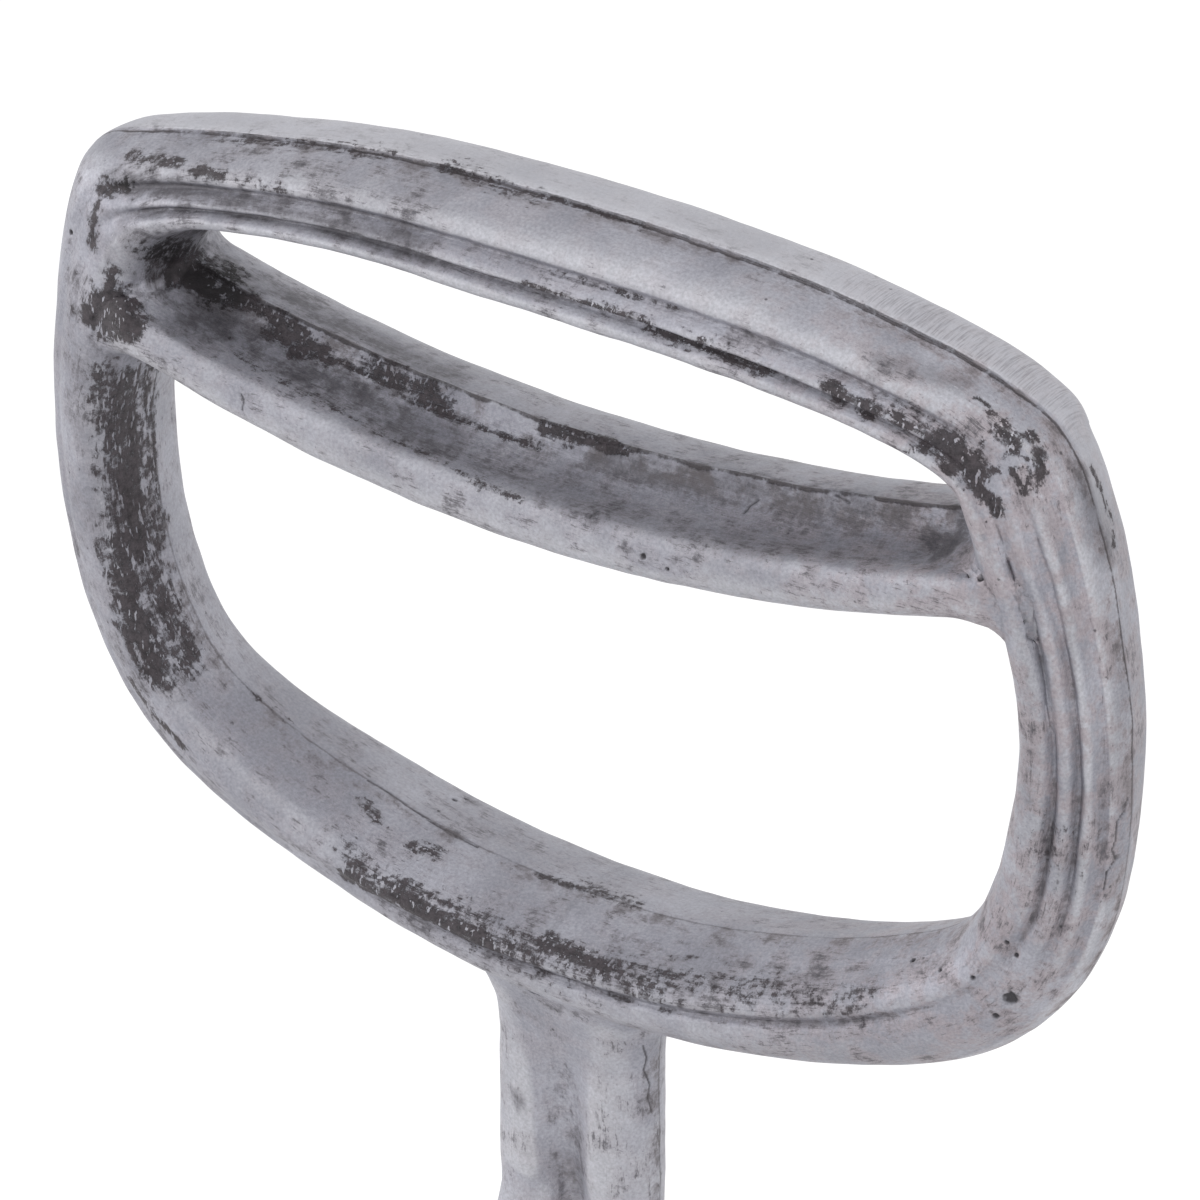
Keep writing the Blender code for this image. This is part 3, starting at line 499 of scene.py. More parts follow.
give(grip.data, "hollow", hollow_of(grip.data, HOLLOW_ROUNDS))
give(grip.data, "flow", member_flow[[nearest.find(p)[1] for p in grip_points]])
uneven = noise_at(grip_points, MARK_GRAIN)
mark = np.zeros(len(grip_points))
sunk = np.zeros(len(grip_points))
for pixels, half_width in CRACKS:
    ragged = half_width * (1 + CRACK_RAGGED * uneven)
    part = np.clip(CRACK_EDGE - from_line(grip_points, pixels) / ragged, 0, 1)
    mark = np.maximum(mark, CRACK_TONE * part)
    sunk = np.maximum(sunk, CRACK_DEPTH * part)
for pixel, radius in PITS:
    share = from_line(grip_points, [pixel]) / radius * (1 + PIT_RAGGED * uneven)
    mark = np.maximum(mark, np.clip(PIT_EDGE - 2 * share, 0, 1))
    sunk = np.maximum(sunk, PIT_DEPTH * np.clip(PIT_BOWL - share * share, 0, 1))
move_points(grip.data, grip_points - normals_of(grip.data) * sunk[:, None] * MM)
give(grip.data, "mark", mark)

# Paint that is left: dark stove paint in islands and streaks, placed where the photograph shows it; grime
# and painted shade, clean skin and file marks likewise. Each stroke is photograph pixels, its half width in
# millimetres and how much of it is there.
PAINT = [
    ([(832, 386), (840, 398)], 0.8, 0.95), ([(862, 406), (872, 414)], 0.9, 1.0),
    ([(876, 404), (875, 412)], 0.4, 0.9), ([(895, 413), (905, 424)], 0.55, 0.9),
    ([(900, 418), (930, 432)], 1.4, 0.5), ([(938, 442), (955, 455), (974, 470)], 1.35, 1.2),
    ([(972, 480), (984, 494), (998, 510)], 0.75, 1.1), ([(944, 434), (960, 446)], 0.8, 1.0),
    ([(975, 398), (987, 404), (994, 415)], 0.3, 0.85), ([(1003, 424), (1009, 436), (1015, 447)], 0.75, 1.0),
    ([(1030, 436), (1034, 438)], 0.5, 0.8), ([(1013, 470), (1018, 482), (1024, 492)], 0.38, 1.0),
    # Painted shade: the stroke from (1038, 453) to (1040, 478) is the dark of the valley between the right
    # member's first two ridges, laid in as paint.
    ([(1038, 453), (1040, 466), (1040, 478)], 0.5, 1.1), ([(1027, 462), (1028, 490)], 0.8, 0.5),
    ([(1092, 470), (1104, 498), (1111, 518), (1114, 545)], 0.35, 0.8),
    ([(520, 284), (590, 306)], 0.5, 0.62), ([(590, 304), (650, 322)], 0.5, 0.65),
    ([(650, 327), (720, 352)], 0.8, 0.8), ([(698, 342), (740, 360), (770, 374)], 0.7, 0.75),
    ([(545, 270), (600, 284)], 0.4, 0.5), ([(600, 285), (640, 296)], 0.4, 0.55),
    ([(650, 301), (680, 308)], 0.4, 0.5), ([(130, 156), (178, 164)], 0.8, 0.8),
    ([(196, 168), (225, 176)], 0.6, 0.7), ([(234, 181), (289, 191)], 0.4, 0.55),
    ([(220, 140), (300, 146), (388, 156)], 0.9, 0.5), ([(446, 168), (500, 186), (539, 200)], 0.9, 0.6),
    ([(520, 190), (580, 208), (640, 226)], 0.4, 0.75), ([(104, 190), (128, 186)], 0.9, 0.8),
    ([(96, 205), (93, 245)], 0.7, 0.8), ([(112, 272), (110, 290)], 0.8, 1.0),
    ([(98, 300), (118, 300)], 1.4, 1.1), ([(92, 318), (132, 322)], 1.5, 1.1),
    ([(100, 334), (134, 336)], 0.8, 0.95), ([(104, 376), (112, 440), (120, 520)], 1.6, 0.75),
    ([(128, 380), (132, 450), (140, 540)], 2.0, 0.86), ([(148, 366), (152, 440), (160, 540)], 1.2, 0.66),
    ([(124, 470), (130, 510), (138, 552)], 1.3, 1.15), ([(118, 540), (132, 610), (156, 670)], 1.6, 0.92),
    ([(150, 560), (166, 620), (186, 664)], 1.6, 0.68), ([(165, 590), (180, 628), (196, 652)], 1.0, 0.8),
    ([(120, 626), (136, 660), (152, 684)], 0.6, 0.75), ([(131, 681), (155, 716), (183, 746)], 0.6, 0.8),
    ([(160, 250), (190, 262), (222, 285)], 2.6, 0.78), ([(172, 268), (204, 284)], 1.2, 1.2),
    ([(225, 288), (265, 312), (305, 334)], 0.8, 0.95), ([(276, 322), (300, 348)], 1.2, 0.9),
    ([(250, 303), (330, 356), (430, 408), (540, 448)], 0.28, 0.95), ([(306, 342), (330, 362)], 0.9, 0.75),
    ([(376, 368), (410, 385), (444, 404)], 1.1, 0.85), ([(240, 358), (380, 432), (520, 498)], 0.6, 0.5),
    ([(545, 428), (590, 440), (626, 452)], 0.7, 0.95),
    ([(348, 878), (405, 906), (450, 930), (488, 947)], 1.1, 0.95), ([(400, 890), (480, 932)], 1.8, 0.62),
    ([(345, 850), (380, 880)], 1.2, 0.56), ([(546, 942), (600, 968)], 1.3, 0.86),
    ([(600, 970), (660, 990)], 1.5, 0.66), ([(500, 945), (660, 985)], 2.2, 0.56),
    ([(680, 975), (760, 990), (860, 1000)], 1.8, 0.42), ([(412, 846), (440, 852)], 0.8, 0.75),
    ([(538, 874), (575, 886)], 0.5, 0.92), ([(575, 884), (640, 905)], 1.0, 0.6),
    ([(366, 800), (378, 818)], 0.9, 0.55), ([(240, 684), (272, 708), (304, 734)], 0.22, 0.85),
    ([(1052, 830), (1055, 860)], 2.0, 0.3),
]
# The strokes are grime and painted shade together: those along the second bar's trough under the upper bar,
# the crescent where the trough ends on the right, the top left pocket and those down the right member's inner
# side paint the shade that falls there.
GRIME_AND_SHADE = [
    ([(880, 362), (920, 372), (962, 384)], 1.2, 0.9), ([(1084, 480), (1098, 510), (1108, 545)], 1.6, 1.0),
    ([(260, 345), (380, 415), (520, 480), (700, 535), (940, 550)], 2.2, 0.4),
    ([(600, 455), (700, 478), (800, 498), (900, 513)], 1.3, 0.8),
    ([(150, 150), (300, 175), (420, 205)], 3.0, 0.4), ([(1040, 840), (1055, 870)], 2.5, 0.35),
    ([(115, 180), (170, 186), (243, 203)], 1.3, 1.1), ([(243, 203), (330, 225), (420, 246)], 1.0, 1.0),
    ([(160, 245), (220, 285)], 4.0, 1.1), ([(232, 262), (300, 302), (380, 342), (450, 374)], 1.8, 1.0),
    ([(104, 376), (120, 520), (160, 660)], 3.2, 0.6),
    ([(960, 508), (964, 522), (956, 543), (937, 556)], 0.8, 1.2),
    ([(1040, 505), (1055, 543), (1065, 579), (1072, 640), (1076, 760), (1072, 840)], 0.35, 0.5),
    ([(1120, 640), (1112, 760), (1100, 820)], 1.0, 0.4),
    ([(350, 880), (490, 950), (660, 990), (860, 1000)], 2.2, 0.35),
    ([(700, 1024), (800, 1023), (900, 1018)], 0.5, 0.3), ([(518, 1098), (519, 1103)], 0.7, 1.3),
    ([(1028, 600), (1032, 700), (1026, 800)], 1.0, 0.35),
]
CLEAN = [
    ([(1050, 540), (1075, 640), (1078, 780)], 3.4, 0.7),
    ([(210, 660), (300, 765), (420, 848), (520, 890)], 3.0, 0.35),
    ([(566, 1040), (568, 1110), (570, 1195)], 3.0, 0.9), ([(100, 380), (80, 480), (110, 620)], 1.6, 0.6),
    ([(480, 205), (600, 240), (700, 275)], 3.5, 1.0), ([(760, 300), (880, 340), (960, 380)], 2.5, 0.6),
    ([(116, 200), (110, 260)], 2.2, 0.9), ([(980, 530), (1000, 580)], 4.0, 0.7),
    ([(700, 1045), (950, 1040)], 2.0, 0.9), ([(1036, 520), (1062, 620), (1064, 760)], 1.1, 1.3),
    ([(1090, 560), (1091, 760)], 1.2, 0.7), ([(450, 430), (640, 505), (900, 545)], 2.0, 0.6),
    ([(60, 300), (60, 400), (66, 500)], 1.2, 1.0), ([(535, 1040), (535, 1195)], 1.6, 0.9),
    ([(580, 1060), (582, 1195)], 2.0, 0.9), ([(640, 890), (900, 930)], 2.0, 0.6),
    ([(270, 760), (420, 850)], 2.0, 0.4),
]
FILED = [([(880, 300), (960, 340), (1048, 390)], 4.0, 1.0)]
STROKE_GRAIN = 1.4
STROKE_RAGGED = 0.7
STROKE_FADE = (0.5, 2.0)
rough_edge = noise_at(grip_points, STROKE_GRAIN)


def brushed(strokes):
    """Share of each point that strokes cover, fading out beyond half their half width."""
    cover = np.zeros(len(grip_points))
    for pixels, half_width, amount in strokes:
        gap = from_line(grip_points, pixels) / half_width * (1 + STROKE_RAGGED * rough_edge)
        fade = (STROKE_FADE[1] - gap) / (STROKE_FADE[1] - STROKE_FADE[0])
        cover = np.maximum(cover, amount * np.clip(fade, 0, 1))
    return cover


for name, strokes in {"paint": PAINT, "grime_and_shade": GRIME_AND_SHADE, "clean": CLEAN, "filed": FILED}.items():
    give(grip.data, name, brushed(strokes))


def srgb(code):
    """Linear colour of an sRGB hex value."""
    parts = [int(code[k:k + 2], 16) / 255 for k in (1, 3, 5)]
    return (*[p / 12.92 if p <= 0.04045 else ((p + 0.055) / 1.055) ** 2.4 for p in parts], 1)


SMOOTH = {"interpolation_type": "SMOOTHSTEP"}
COLOUR = {"data_type": "RGBA"}


def feed(tree, node, inputs):
    """Set inputs, by name or in order, to constants, sockets or the first output of nodes."""
    for key, value in inputs.items() if isinstance(inputs, dict) else enumerate(inputs):
        if isinstance(value, bpy.types.Node):
            value = next(socket for socket in value.outputs if socket.enabled)
        if isinstance(value, bpy.types.NodeSocket):
            tree.links.new(value, node.inputs[key])
        else:
            node.inputs[key].default_value = value


def add(tree, kind, inputs=(), stops=(), **settings):
    """Node with settings, colour stops and inputs; a MapRange takes a value, its old and its new range."""
    node = tree.nodes.new(kind if kind.startswith(("Geometry", "NodeGroup")) else "ShaderNode" + kind)
    for key, value in settings.items():
        setattr(node, key, value)
    for k, (place, code) in enumerate(stops):
        ramp = node.color_ramp.elements
        stop = ramp[k] if k < len(ramp) else ramp.new(place)
        stop.position, stop.color = place, srgb(code)
    feed(tree, node, inputs)
    return node


def finish_named(name):
    """Empty procedural material: its tree and its shader."""
    material = bpy.data.materials.new(name)
    material.use_nodes = True
    tree = material.node_tree
    return material, tree, tree.nodes["Principled BSDF"]


# Sand-cast aluminium: dull grey, gritty from the sand, bright on rubbed ridges, dark with oxide in grooves.
cast, tree, shader = finish_named("worn_cast_aluminium")
place = add(tree, "TexCoord").outputs["Object"]
flow = add(tree, "Attribute", attribute_name="flow").outputs["Vector"]
hollow_share, paint_share, grime_and_shade_share, filed_share, mark_share, clean_share = (
    add(tree, "Attribute", attribute_name=name).outputs["Fac"]
    for name in ("hollow", "paint", "grime_and_shade", "filed", "mark", "clean"))
axes = add(tree, "SeparateXYZ", [place]).outputs
# Broad tone, blotches, grit and grain of the skin, and streaks along each bar; flow is in millimetres.
broad = add(tree, "TexNoise", {"Vector": place, "Scale": 1 / (16 * MM), "Detail": 3, "Roughness": 0.55})
blotch = add(tree, "TexNoise", {"Vector": place, "Scale": 1 / (4.2 * MM), "Detail": 8, "Roughness": 0.7})
grit = add(tree, "TexNoise", {"Vector": place, "Scale": 1 / (1.4 * MM), "Detail": 6, "Roughness": 0.74})
grain = add(tree, "TexNoise", {"Vector": place, "Scale": 1 / (0.4 * MM), "Detail": 2, "Roughness": 0.6})
drawn = add(tree, "Mapping", {"Vector": flow, "Scale": (1 / 12, 1 / 0.8, 1 / 0.8)})
streak = add(tree, "TexNoise", {"Vector": drawn, "Scale": 1, "Detail": 7, "Roughness": 0.72})
fine = add(tree, "TexNoise", {"Vector": place, "Scale": 1 / (0.8 * MM), "Detail": 5, "Roughness": 0.78})
skin = add(tree, "ValToRGB", [broad], [(0.38, "#92929B"), (0.62, "#A9A9B2")])
worn = add(tree, "MapRange", [hollow_share, -0.12, -0.45, 0, 0.75], **SMOOTH)
warm = add(tree, "MapRange", [blotch, 0.42, 0.58, 0, 0.75], **SMOOTH)
rightward = add(tree, "MapRange", [axes["X"], 0.02, 0.06, 0.25, 1])
warm = add(tree, "Math", [warm, rightward], operation="MULTIPLY")
# Soot and painted shade: a smooth darkening under the grime and shade strokes.
soot_and_shade = add(tree, "MapRange", [grime_and_shade_share, 0, 1, 0, 0.5])
# Grey oxide: mottled all over, thicker in the grooves and where grime and painted shade lie, streaked along
# the bars.
mottle = add(tree, "Math", [grit, 1.1, -0.55], operation="MULTIPLY_ADD")
mottle = add(tree, "Math", [streak, 0.9, mottle], operation="MULTIPLY_ADD")
mottle = add(tree, "Math", [blotch, 1.3, mottle], operation="MULTIPLY_ADD")
groove = add(tree, "MapRange", [hollow_share, -0.3, 0.5, -1.35, -0.85])
groove = add(tree, "Math", [grime_and_shade_share, 0.28, groove], operation="MULTIPLY_ADD")
groove = add(tree, "Math", [clean_share, -0.3, groove], operation="MULTIPLY_ADD")
oxide = add(tree, "Math", [mottle, groove], operation="ADD")
oxide = add(tree, "MapRange", [oxide, -0.14, 0.42, 0, 0.85], **SMOOTH)
# Scuffs: dark rubs and light scratches a few tenths of a millimetre wide, in patches, few on clean skin.
rub_place = add(tree, "Mapping", {"Vector": flow, "Location": (31, 7, 3),
                                  "Scale": (1 / 2.8, 1 / 0.4, 1 / 0.4)})
rubs = add(tree, "TexNoise", {"Vector": rub_place, "Scale": 1, "Detail": 8, "Roughness": 0.78})
patches = add(tree, "Math", [blotch, 0.7, -0.35], operation="MULTIPLY_ADD")
patches = add(tree, "Math", [clean_share, -0.08, patches], operation="MULTIPLY_ADD")
patches = add(tree, "Math", [grime_and_shade_share, 0.05, patches], operation="MULTIPLY_ADD")
rubbed = add(tree, "Math", [rubs, patches], operation="ADD")
dark_rub = add(tree, "MapRange", [rubbed, 0.55, 0.68, 0, 0.75], **SMOOTH)
light_rub = add(tree, "MapRange", [rubs, 0.4, 0.28, 0, 0.6], **SMOOTH)
# Flecks: dark chips half a millimetre across, in the same patches.
flecks = add(tree, "Math", [fine, patches], operation="ADD")
fleck = add(tree, "MapRange", [flecks, 0.59, 0.69, 0, 0.6], **SMOOTH)
# Tones of the skin from the metal up, each over what lies below it, and fine grain through them all.
for share, colour in ((worn, "#BEBEC4"), (warm, "#A59B9F"), (soot_and_shade, "#636167"), (oxide, "#5F5D62"),
                      (dark_rub, "#5A585C"), (light_rub, "#C6C5CB"), (fleck, "#504E54")):
    skin = add(tree, "Mix", {"Factor": share, "A": skin, "B": srgb(colour)}, **COLOUR)
grained = add(tree, "MapRange", [grain, 0.3, 0.7, 0.84, 1.12])
skin = add(tree, "Mix", {"Factor": 1.0, "A": skin, "B": grained}, blend_type="MULTIPLY", **COLOUR)
# Painted highlight: the far mould half is lighter than the near one, most of all towards the top of the grip.
far = add(tree, "MapRange", [axes["Y"], 0.0002, 0.001])
high = add(tree, "MapRange", [axes["Z"], -0.014, -0.004, 0.12, 0.5])
far_half_highlight = add(tree, "Math", [far, high], operation="MULTIPLY")
# File marks: fine parallel cuts slantwise over the far edge, bright with dark lines.
slant = add(tree, "Mapping", {"Vector": place, "Rotation": (0, 0, math.radians(-24)),
                              "Scale": (1 / (0.18 * MM), 1 / (4 * MM), 1 / (2 * MM))})
cuts = add(tree, "TexNoise", {"Vector": slant, "Scale": 1, "Detail": 3, "Roughness": 0.6})
cut_tone = add(tree, "ValToRGB", [cuts], [(0.36, "#858389"), (0.54, "#BCBBC2")])
filed = add(tree, "Math", [filed_share, far], operation="MULTIPLY")
filed = add(tree, "Math", [filed, 0.55], operation="MULTIPLY", use_clamp=True)
# Pinholes of the casting: dark dots a third of a millimetre wide.
holes = add(tree, "TexVoronoi", {"Vector": place, "Scale": 1 / (3.4 * MM), "Randomness": 1.0})
hole = add(tree, "MapRange", [holes, 0.03, 0.09, 0.8, 0], **SMOOTH)
some = add(tree, "MapRange", [blotch, 0.48, 0.56, 0, 1], **SMOOTH)
hole = add(tree, "Math", [hole, some], operation="MULTIPLY")
hole = add(tree, "Math", [hole, mark_share], operation="MAXIMUM")
# Parting line: a thin dark seam on the middle plane, clearest on the upper bars, brown stain in front of it.
wobble = add(tree, "Math", [blotch, 0.0011, -0.0006], operation="MULTIPLY_ADD")
seam = add(tree, "Math", [axes["Y"], wobble], operation="ADD")
seam_gap = add(tree, "Math", [seam], operation="ABSOLUTE")
upper = add(tree, "MapRange", [axes["Z"], -0.055, -0.03, 0.4, 0.8], **SMOOTH)
broken = add(tree, "MapRange", [blotch, 0.36, 0.5, 0.2, 1], **SMOOTH)
seam_line = add(tree, "MapRange", [seam_gap, 0.00006, 0.00022, 1, 0], **SMOOTH)
seam_line = add(tree, "Math", [seam_line, upper], operation="MULTIPLY")
seam_line = add(tree, "Math", [seam_line, broken], operation="MULTIPLY")
stain = add(tree, "MapRange", [axes["Y"], -0.0035, -0.0004, 0, 1], **SMOOTH)
front = add(tree, "Math", [axes["Y"], 0.0003], operation="LESS_THAN")
patchy = add(tree, "MapRange", [blotch, 0.46, 0.62, 0, 0.6], **SMOOTH)
stain = add(tree, "Math", [stain, front], operation="MULTIPLY")
stain = add(tree, "Math", [stain, patchy], operation="MULTIPLY")
# Old paint: opaque islands with ragged edges and rubbed flecks, streaked along the bars.
torn = add(tree, "Math", [grit, 1.6, -2.7], operation="MULTIPLY_ADD")
torn = add(tree, "Math", [fine, 2.2, torn], operation="MULTIPLY_ADD")
torn = add(tree, "Math", [streak, 1.5, torn], operation="MULTIPLY_ADD")
remains = add(tree, "Math", [paint_share, torn], operation="ADD")
nick_place = add(tree, "Mapping", {"Vector": place, "Rotation": (0.3, 0.35, 0),
                                   "Scale": (1 / (0.5 * MM), 1 / (0.5 * MM), 1 / (2 * MM))})
nicks = add(tree, "TexNoise", {"Vector": nick_place, "Scale": 1, "Detail": 2, "Roughness": 0.5})
nick = add(tree, "MapRange", [nicks, 0.6, 0.69, 0, -1.0])
remains = add(tree, "Math", [remains, nick], operation="ADD")
there = add(tree, "Math", [paint_share, 0.01], operation="GREATER_THAN")
painted = add(tree, "MapRange", [remains, 0.27, 0.72, 0, 0.95], **SMOOTH)
painted = add(tree, "Math", [painted, there], operation="MULTIPLY")
thin = add(tree, "MapRange", [fine, 0.34, 0.66])
# Where grime and painted shade are heaviest the paint turns its darkest: painted shade in the deep pockets.
clear_of_grime_and_shade = add(tree, "MapRange", [grime_and_shade_share, 0.7, 1.1, 1, 0])
thin = add(tree, "Math", [thin, clear_of_grime_and_shade], operation="MULTIPLY")
paint_colour = add(tree, "Mix", {"Factor": thin, "A": srgb("#181416"), "B": srgb("#4C4549")}, **COLOUR)
# Over the skin lie the painted highlight on the far half, file marks, pinholes, stain, seam and paint, in
# this order.
for share, colour in ((far_half_highlight, srgb("#C2C2C8")), (filed, cut_tone), (hole, srgb("#454347")),
                      (stain, srgb("#696466")), (seam_line, srgb("#454143")), (painted, paint_colour)):
    skin = add(tree, "Mix", {"Factor": share, "A": skin, "B": colour}, **COLOUR)
shine = add(tree, "MapRange", [painted, 0, 1, 0.55, 0.0])
rough = add(tree, "MapRange", [grit, 0.3, 0.7, 0.4, 0.62])
relief = add(tree, "Math", [painted, 0.6, grit], operation="MULTIPLY_ADD")
relief = add(tree, "Math", [grain, 0.35, relief], operation="MULTIPLY_ADD")
relief = add(tree, "Math", [streak, 0.8, relief], operation="MULTIPLY_ADD")
relief = add(tree, "Math", [relief, seam_line], operation="SUBTRACT")
bump = add(tree, "Bump", {"Height": relief, "Distance": 0.00016, "Strength": 0.8})
feed(tree, shader, {"Base Color": skin, "Metallic": shine, "Specular IOR Level": 0.25, "Roughness": rough,
                    "Normal": bump})


def dress(thing, finish):
    """Give a piece its one finish."""
    thing.data.materials.clear()
    thing.data.materials.append(finish)


dress(grip, cast)
grip.data.shade_smooth()
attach(grip, "hoe")
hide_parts("grip_casting")

# Shaft: one turned ash pole, domed and flatted at the top where the fork straps hold it, and tapered into
# the socket. Oiled long ago, now grey-brown and polished by hands; growth rings and open pores run along it.
SHAFT_TOP = [(0, -148), (5, -148.8), (8.5, -151), (11.5, -156), (13.4, -163), (14, -172)]
SHAFT_RADIUS = 14.0
SHAFT_FOOT = [(14, -801), (13.3, -815), (10.9, -902), (9.7, -904), (0, -904)]
SHAFT_SPAN_Z = (-178, -795)
SHAFT_RINGS = 130
SHAFT_SIDES = 96
SHAFT_FLAT_X = 11.9
SHAFT_SHOULDER_Z = (-238, -234)
SHAFT_TOP_STEPS = 6
SHAFT_WAVE = 0.12
SHAFT_WAVE_LENGTHS = (20, 20, 60)
FLAT_CLEARANCE = 0.5
SOCKET_RIVET_Z = -846.0
SOCKET_RIVET_HOLE = 2.8
WELD_GAP = 0.002
SHARP = math.radians(38)


def turned(profile, sides):
    """Points of a profile (radius, z) turned about the z axis."""
    angle = np.linspace(0, 2 * math.pi, sides, endpoint=False)[None]
    radius, z = np.asarray(profile, float).T[:, :, None]
    return np.stack([radius * np.cos(angle), radius * np.sin(angle), z + 0 * angle], axis=-1).reshape(-1, 3)


def weld(thing):
    """Merge the points of closed poles and set sharp edges."""
    build = bmesh.new()
    build.from_mesh(thing.data)
    bmesh.ops.remove_doubles(build, verts=build.verts, dist=WELD_GAP * MM)
    bmesh.ops.recalc_face_normals(build, faces=build.faces)
    build.to_mesh(thing.data)
    build.free()
    thing.data.set_sharp_from_angle(angle=SHARP)


straight = np.linspace(*SHAFT_SPAN_Z, SHAFT_RINGS)
shaft_profile = np.vstack([through(SHAFT_TOP, SHAFT_TOP_STEPS, False),
                           np.stack([np.full(SHAFT_RINGS, SHAFT_RADIUS), straight], axis=-1), SHAFT_FOOT])
shaft_points = turned(shaft_profile, SHAFT_SIDES)
hand = np.array([noise.noise(Vector(p / SHAFT_WAVE_LENGTHS)) for p in shaft_points])
above_foot = shaft_points[:, 2] > SHAFT_FOOT[0][1]
shaft_points[:, :2] *= 1 + (hand * SHAFT_WAVE / SHAFT_RADIUS * above_foot)[:, None]
flat_x = np.interp(shaft_points[:, 2], SHAFT_SHOULDER_Z, (SHAFT_RADIUS + FLAT_CLEARANCE, SHAFT_FLAT_X))
shaft_points[:, 0] = np.clip(shaft_points[:, 0], -flat_x, flat_x)
shaft = solid("ash_shaft", shaft_points, skin_faces(len(shaft_profile), SHAFT_SIDES, False)[:-2])
weld(shaft)
for z in RIVET_HOLE_Z:
    drill(shaft, 0, (0, 0, z), RIVET_HOLE_RADIUS)
drill(shaft, 1, (0, 0, SOCKET_RIVET_Z), SOCKET_RIVET_HOLE)
shaft.data.set_sharp_from_angle(angle=SHARP)

# Ash: growth rings about 2.2 mm apart cut lengthways, dark pores in the early wood, hand dirt on top.
ash, tree, shader = finish_named("oiled_ash")
place = add(tree, "TexCoord").outputs["Object"]
slow = add(tree, "Mapping", {"Vector": place, "Scale": (1, 1, 0.09)})
lean = add(tree, "TexNoise", {"Vector": slow, "Scale": 1 / (16 * MM), "Detail": 3, "Roughness": 0.5})
off_pith = add(tree, "Mapping", {"Vector": place, "Location": (0.011, -0.006, 0), "Scale": (1, 1, 0.012)})
from_pith = add(tree, "VectorMath", [off_pith], operation="LENGTH")
bent = add(tree, "Math", [lean, 0.009, from_pith], operation="MULTIPLY_ADD")
rings = add(tree, "Math", [bent, 0.0022], operation="DIVIDE")
year = add(tree, "Math", [rings], operation="FRACT")
wood = add(tree, "ValToRGB", [year],
           [(0.0, "#8E6C48"), (0.3, "#B8976B"), (0.85, "#C6A87E"), (0.97, "#94724D")])
fibre_place = add(tree, "Mapping", {"Vector": place,
                                    "Scale": (1 / (0.6 * MM), 1 / (0.6 * MM), 1 / (12 * MM))})
fibre = add(tree, "TexNoise", {"Vector": fibre_place, "Scale": 1, "Detail": 3, "Roughness": 0.6})
early = add(tree, "MapRange", [year, 0.0, 0.45, 0.12, -0.05])
pore = add(tree, "Math", [fibre, early], operation="ADD")
pore = add(tree, "MapRange", [pore, 0.56, 0.7, 0, 0.75], **SMOOTH)
wood = add(tree, "Mix", {"Factor": pore, "A": wood, "B": srgb("#5E4229")}, **COLOUR)
dirt = add(tree, "TexNoise", {"Vector": slow, "Scale": 1 / (10 * MM), "Detail": 6, "Roughness": 0.65})
dirt = add(tree, "MapRange", [dirt, 0.42, 0.72, 0.1, 0.6], **SMOOTH)
wood = add(tree, "Mix", {"Factor": dirt, "A": wood, "B": srgb("#73604B")}, **COLOUR)
rough = add(tree, "MapRange", [fibre, 0, 1, 0.36, 0.62])
depth = add(tree, "Math", [pore, -1.0], operation="MULTIPLY")
bump = add(tree, "Bump", {"Height": depth, "Distance": 0.00012, "Strength": 0.7})
feed(tree, shader, {"Base Color": wood, "Roughness": rough, "Normal": bump})
dress(shaft, ash)
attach(shaft, "hoe")
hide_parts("shaft")

# Grip rivets: two forged steel rivets across straps and shaft, domed on the right, peened over burrs on the
# left. Every turned fastener comes from one node tree: a profile spun about its axis, cut to a hexagon where
# it has flats, and set in a row.
RIVET_RADIUS = 3.0
RIVET_HEAD = (6.0, 2.8)
RIVET_TAIL = (5.0, 2.8)
RIVET_SEAT_X = (-19.2, 17.7)
BURR_BORE = 3.3
BURR_RADIUS = 6.2
BURR_X = (-18.9, -17.7)
# A round piece: flats this far apart cut nothing off it.
ROUND = 1000.0
FASTENER_SOCKETS = {"Profile": "NodeSocketGeometry", "Sides": "NodeSocketInt",
                    "Across flats": "NodeSocketFloat", "First place": "NodeSocketVector",
                    "Step": "NodeSocketVector", "Count": "NodeSocketInt", "Lie": "NodeSocketVector",
                    "Turn": "NodeSocketVector", "Finish": "NodeSocketMaterial"}
row = bpy.data.node_groups.new("turned_fasteners", "GeometryNodeTree")
row.is_modifier = True
row_ids = {name: row.interface.new_socket(name, in_out="INPUT", socket_type=kind).identifier
           for name, kind in FASTENER_SOCKETS.items()}
row.interface.new_socket("Fasteners", in_out="OUTPUT", socket_type="NodeSocketGeometry")
given = add(row, "NodeGroupInput").outputs
count = add(row, "GeometryNodeAttributeDomainSize", {"Geometry": given["Profile"]}).outputs["Point Count"]
around = add(row, "Math", [given["Sides"], 1.0], operation="ADD")
sheet = add(row, "GeometryNodeMeshGrid",
            {"Size X": 1.0, "Size Y": 1.0, "Vertices X": around, "Vertices Y": count})
at = add(row, "SeparateXYZ", [add(row, "GeometryNodeInputPosition")])
last = add(row, "Math", [count, 1.0], operation="SUBTRACT")
step = add(row, "Math", [at.outputs["Y"], 0.5], operation="ADD")
step = add(row, "Math", [step, last], operation="MULTIPLY")
step = add(row, "Math", [step], operation="ROUND")
point = add(row, "GeometryNodeSampleIndex",
            {"Geometry": given["Profile"], "Value": add(row, "GeometryNodeInputPosition"), "Index": step},
            data_type="FLOAT_VECTOR", domain="POINT")
point = add(row, "SeparateXYZ", [point])
angle = add(row, "Math", [at.outputs["X"], 2 * math.pi, math.pi], operation="MULTIPLY_ADD")
facet = add(row, "Math", [angle, math.pi / 3], operation="MODULO")
facet = add(row, "Math", [facet, math.pi / 6], operation="SUBTRACT")
facet = add(row, "Math", [facet], operation="COSINE")
half_flats = add(row, "Math", [given["Across flats"], 0.5], operation="MULTIPLY")
facet = add(row, "Math", [half_flats, facet], operation="DIVIDE")
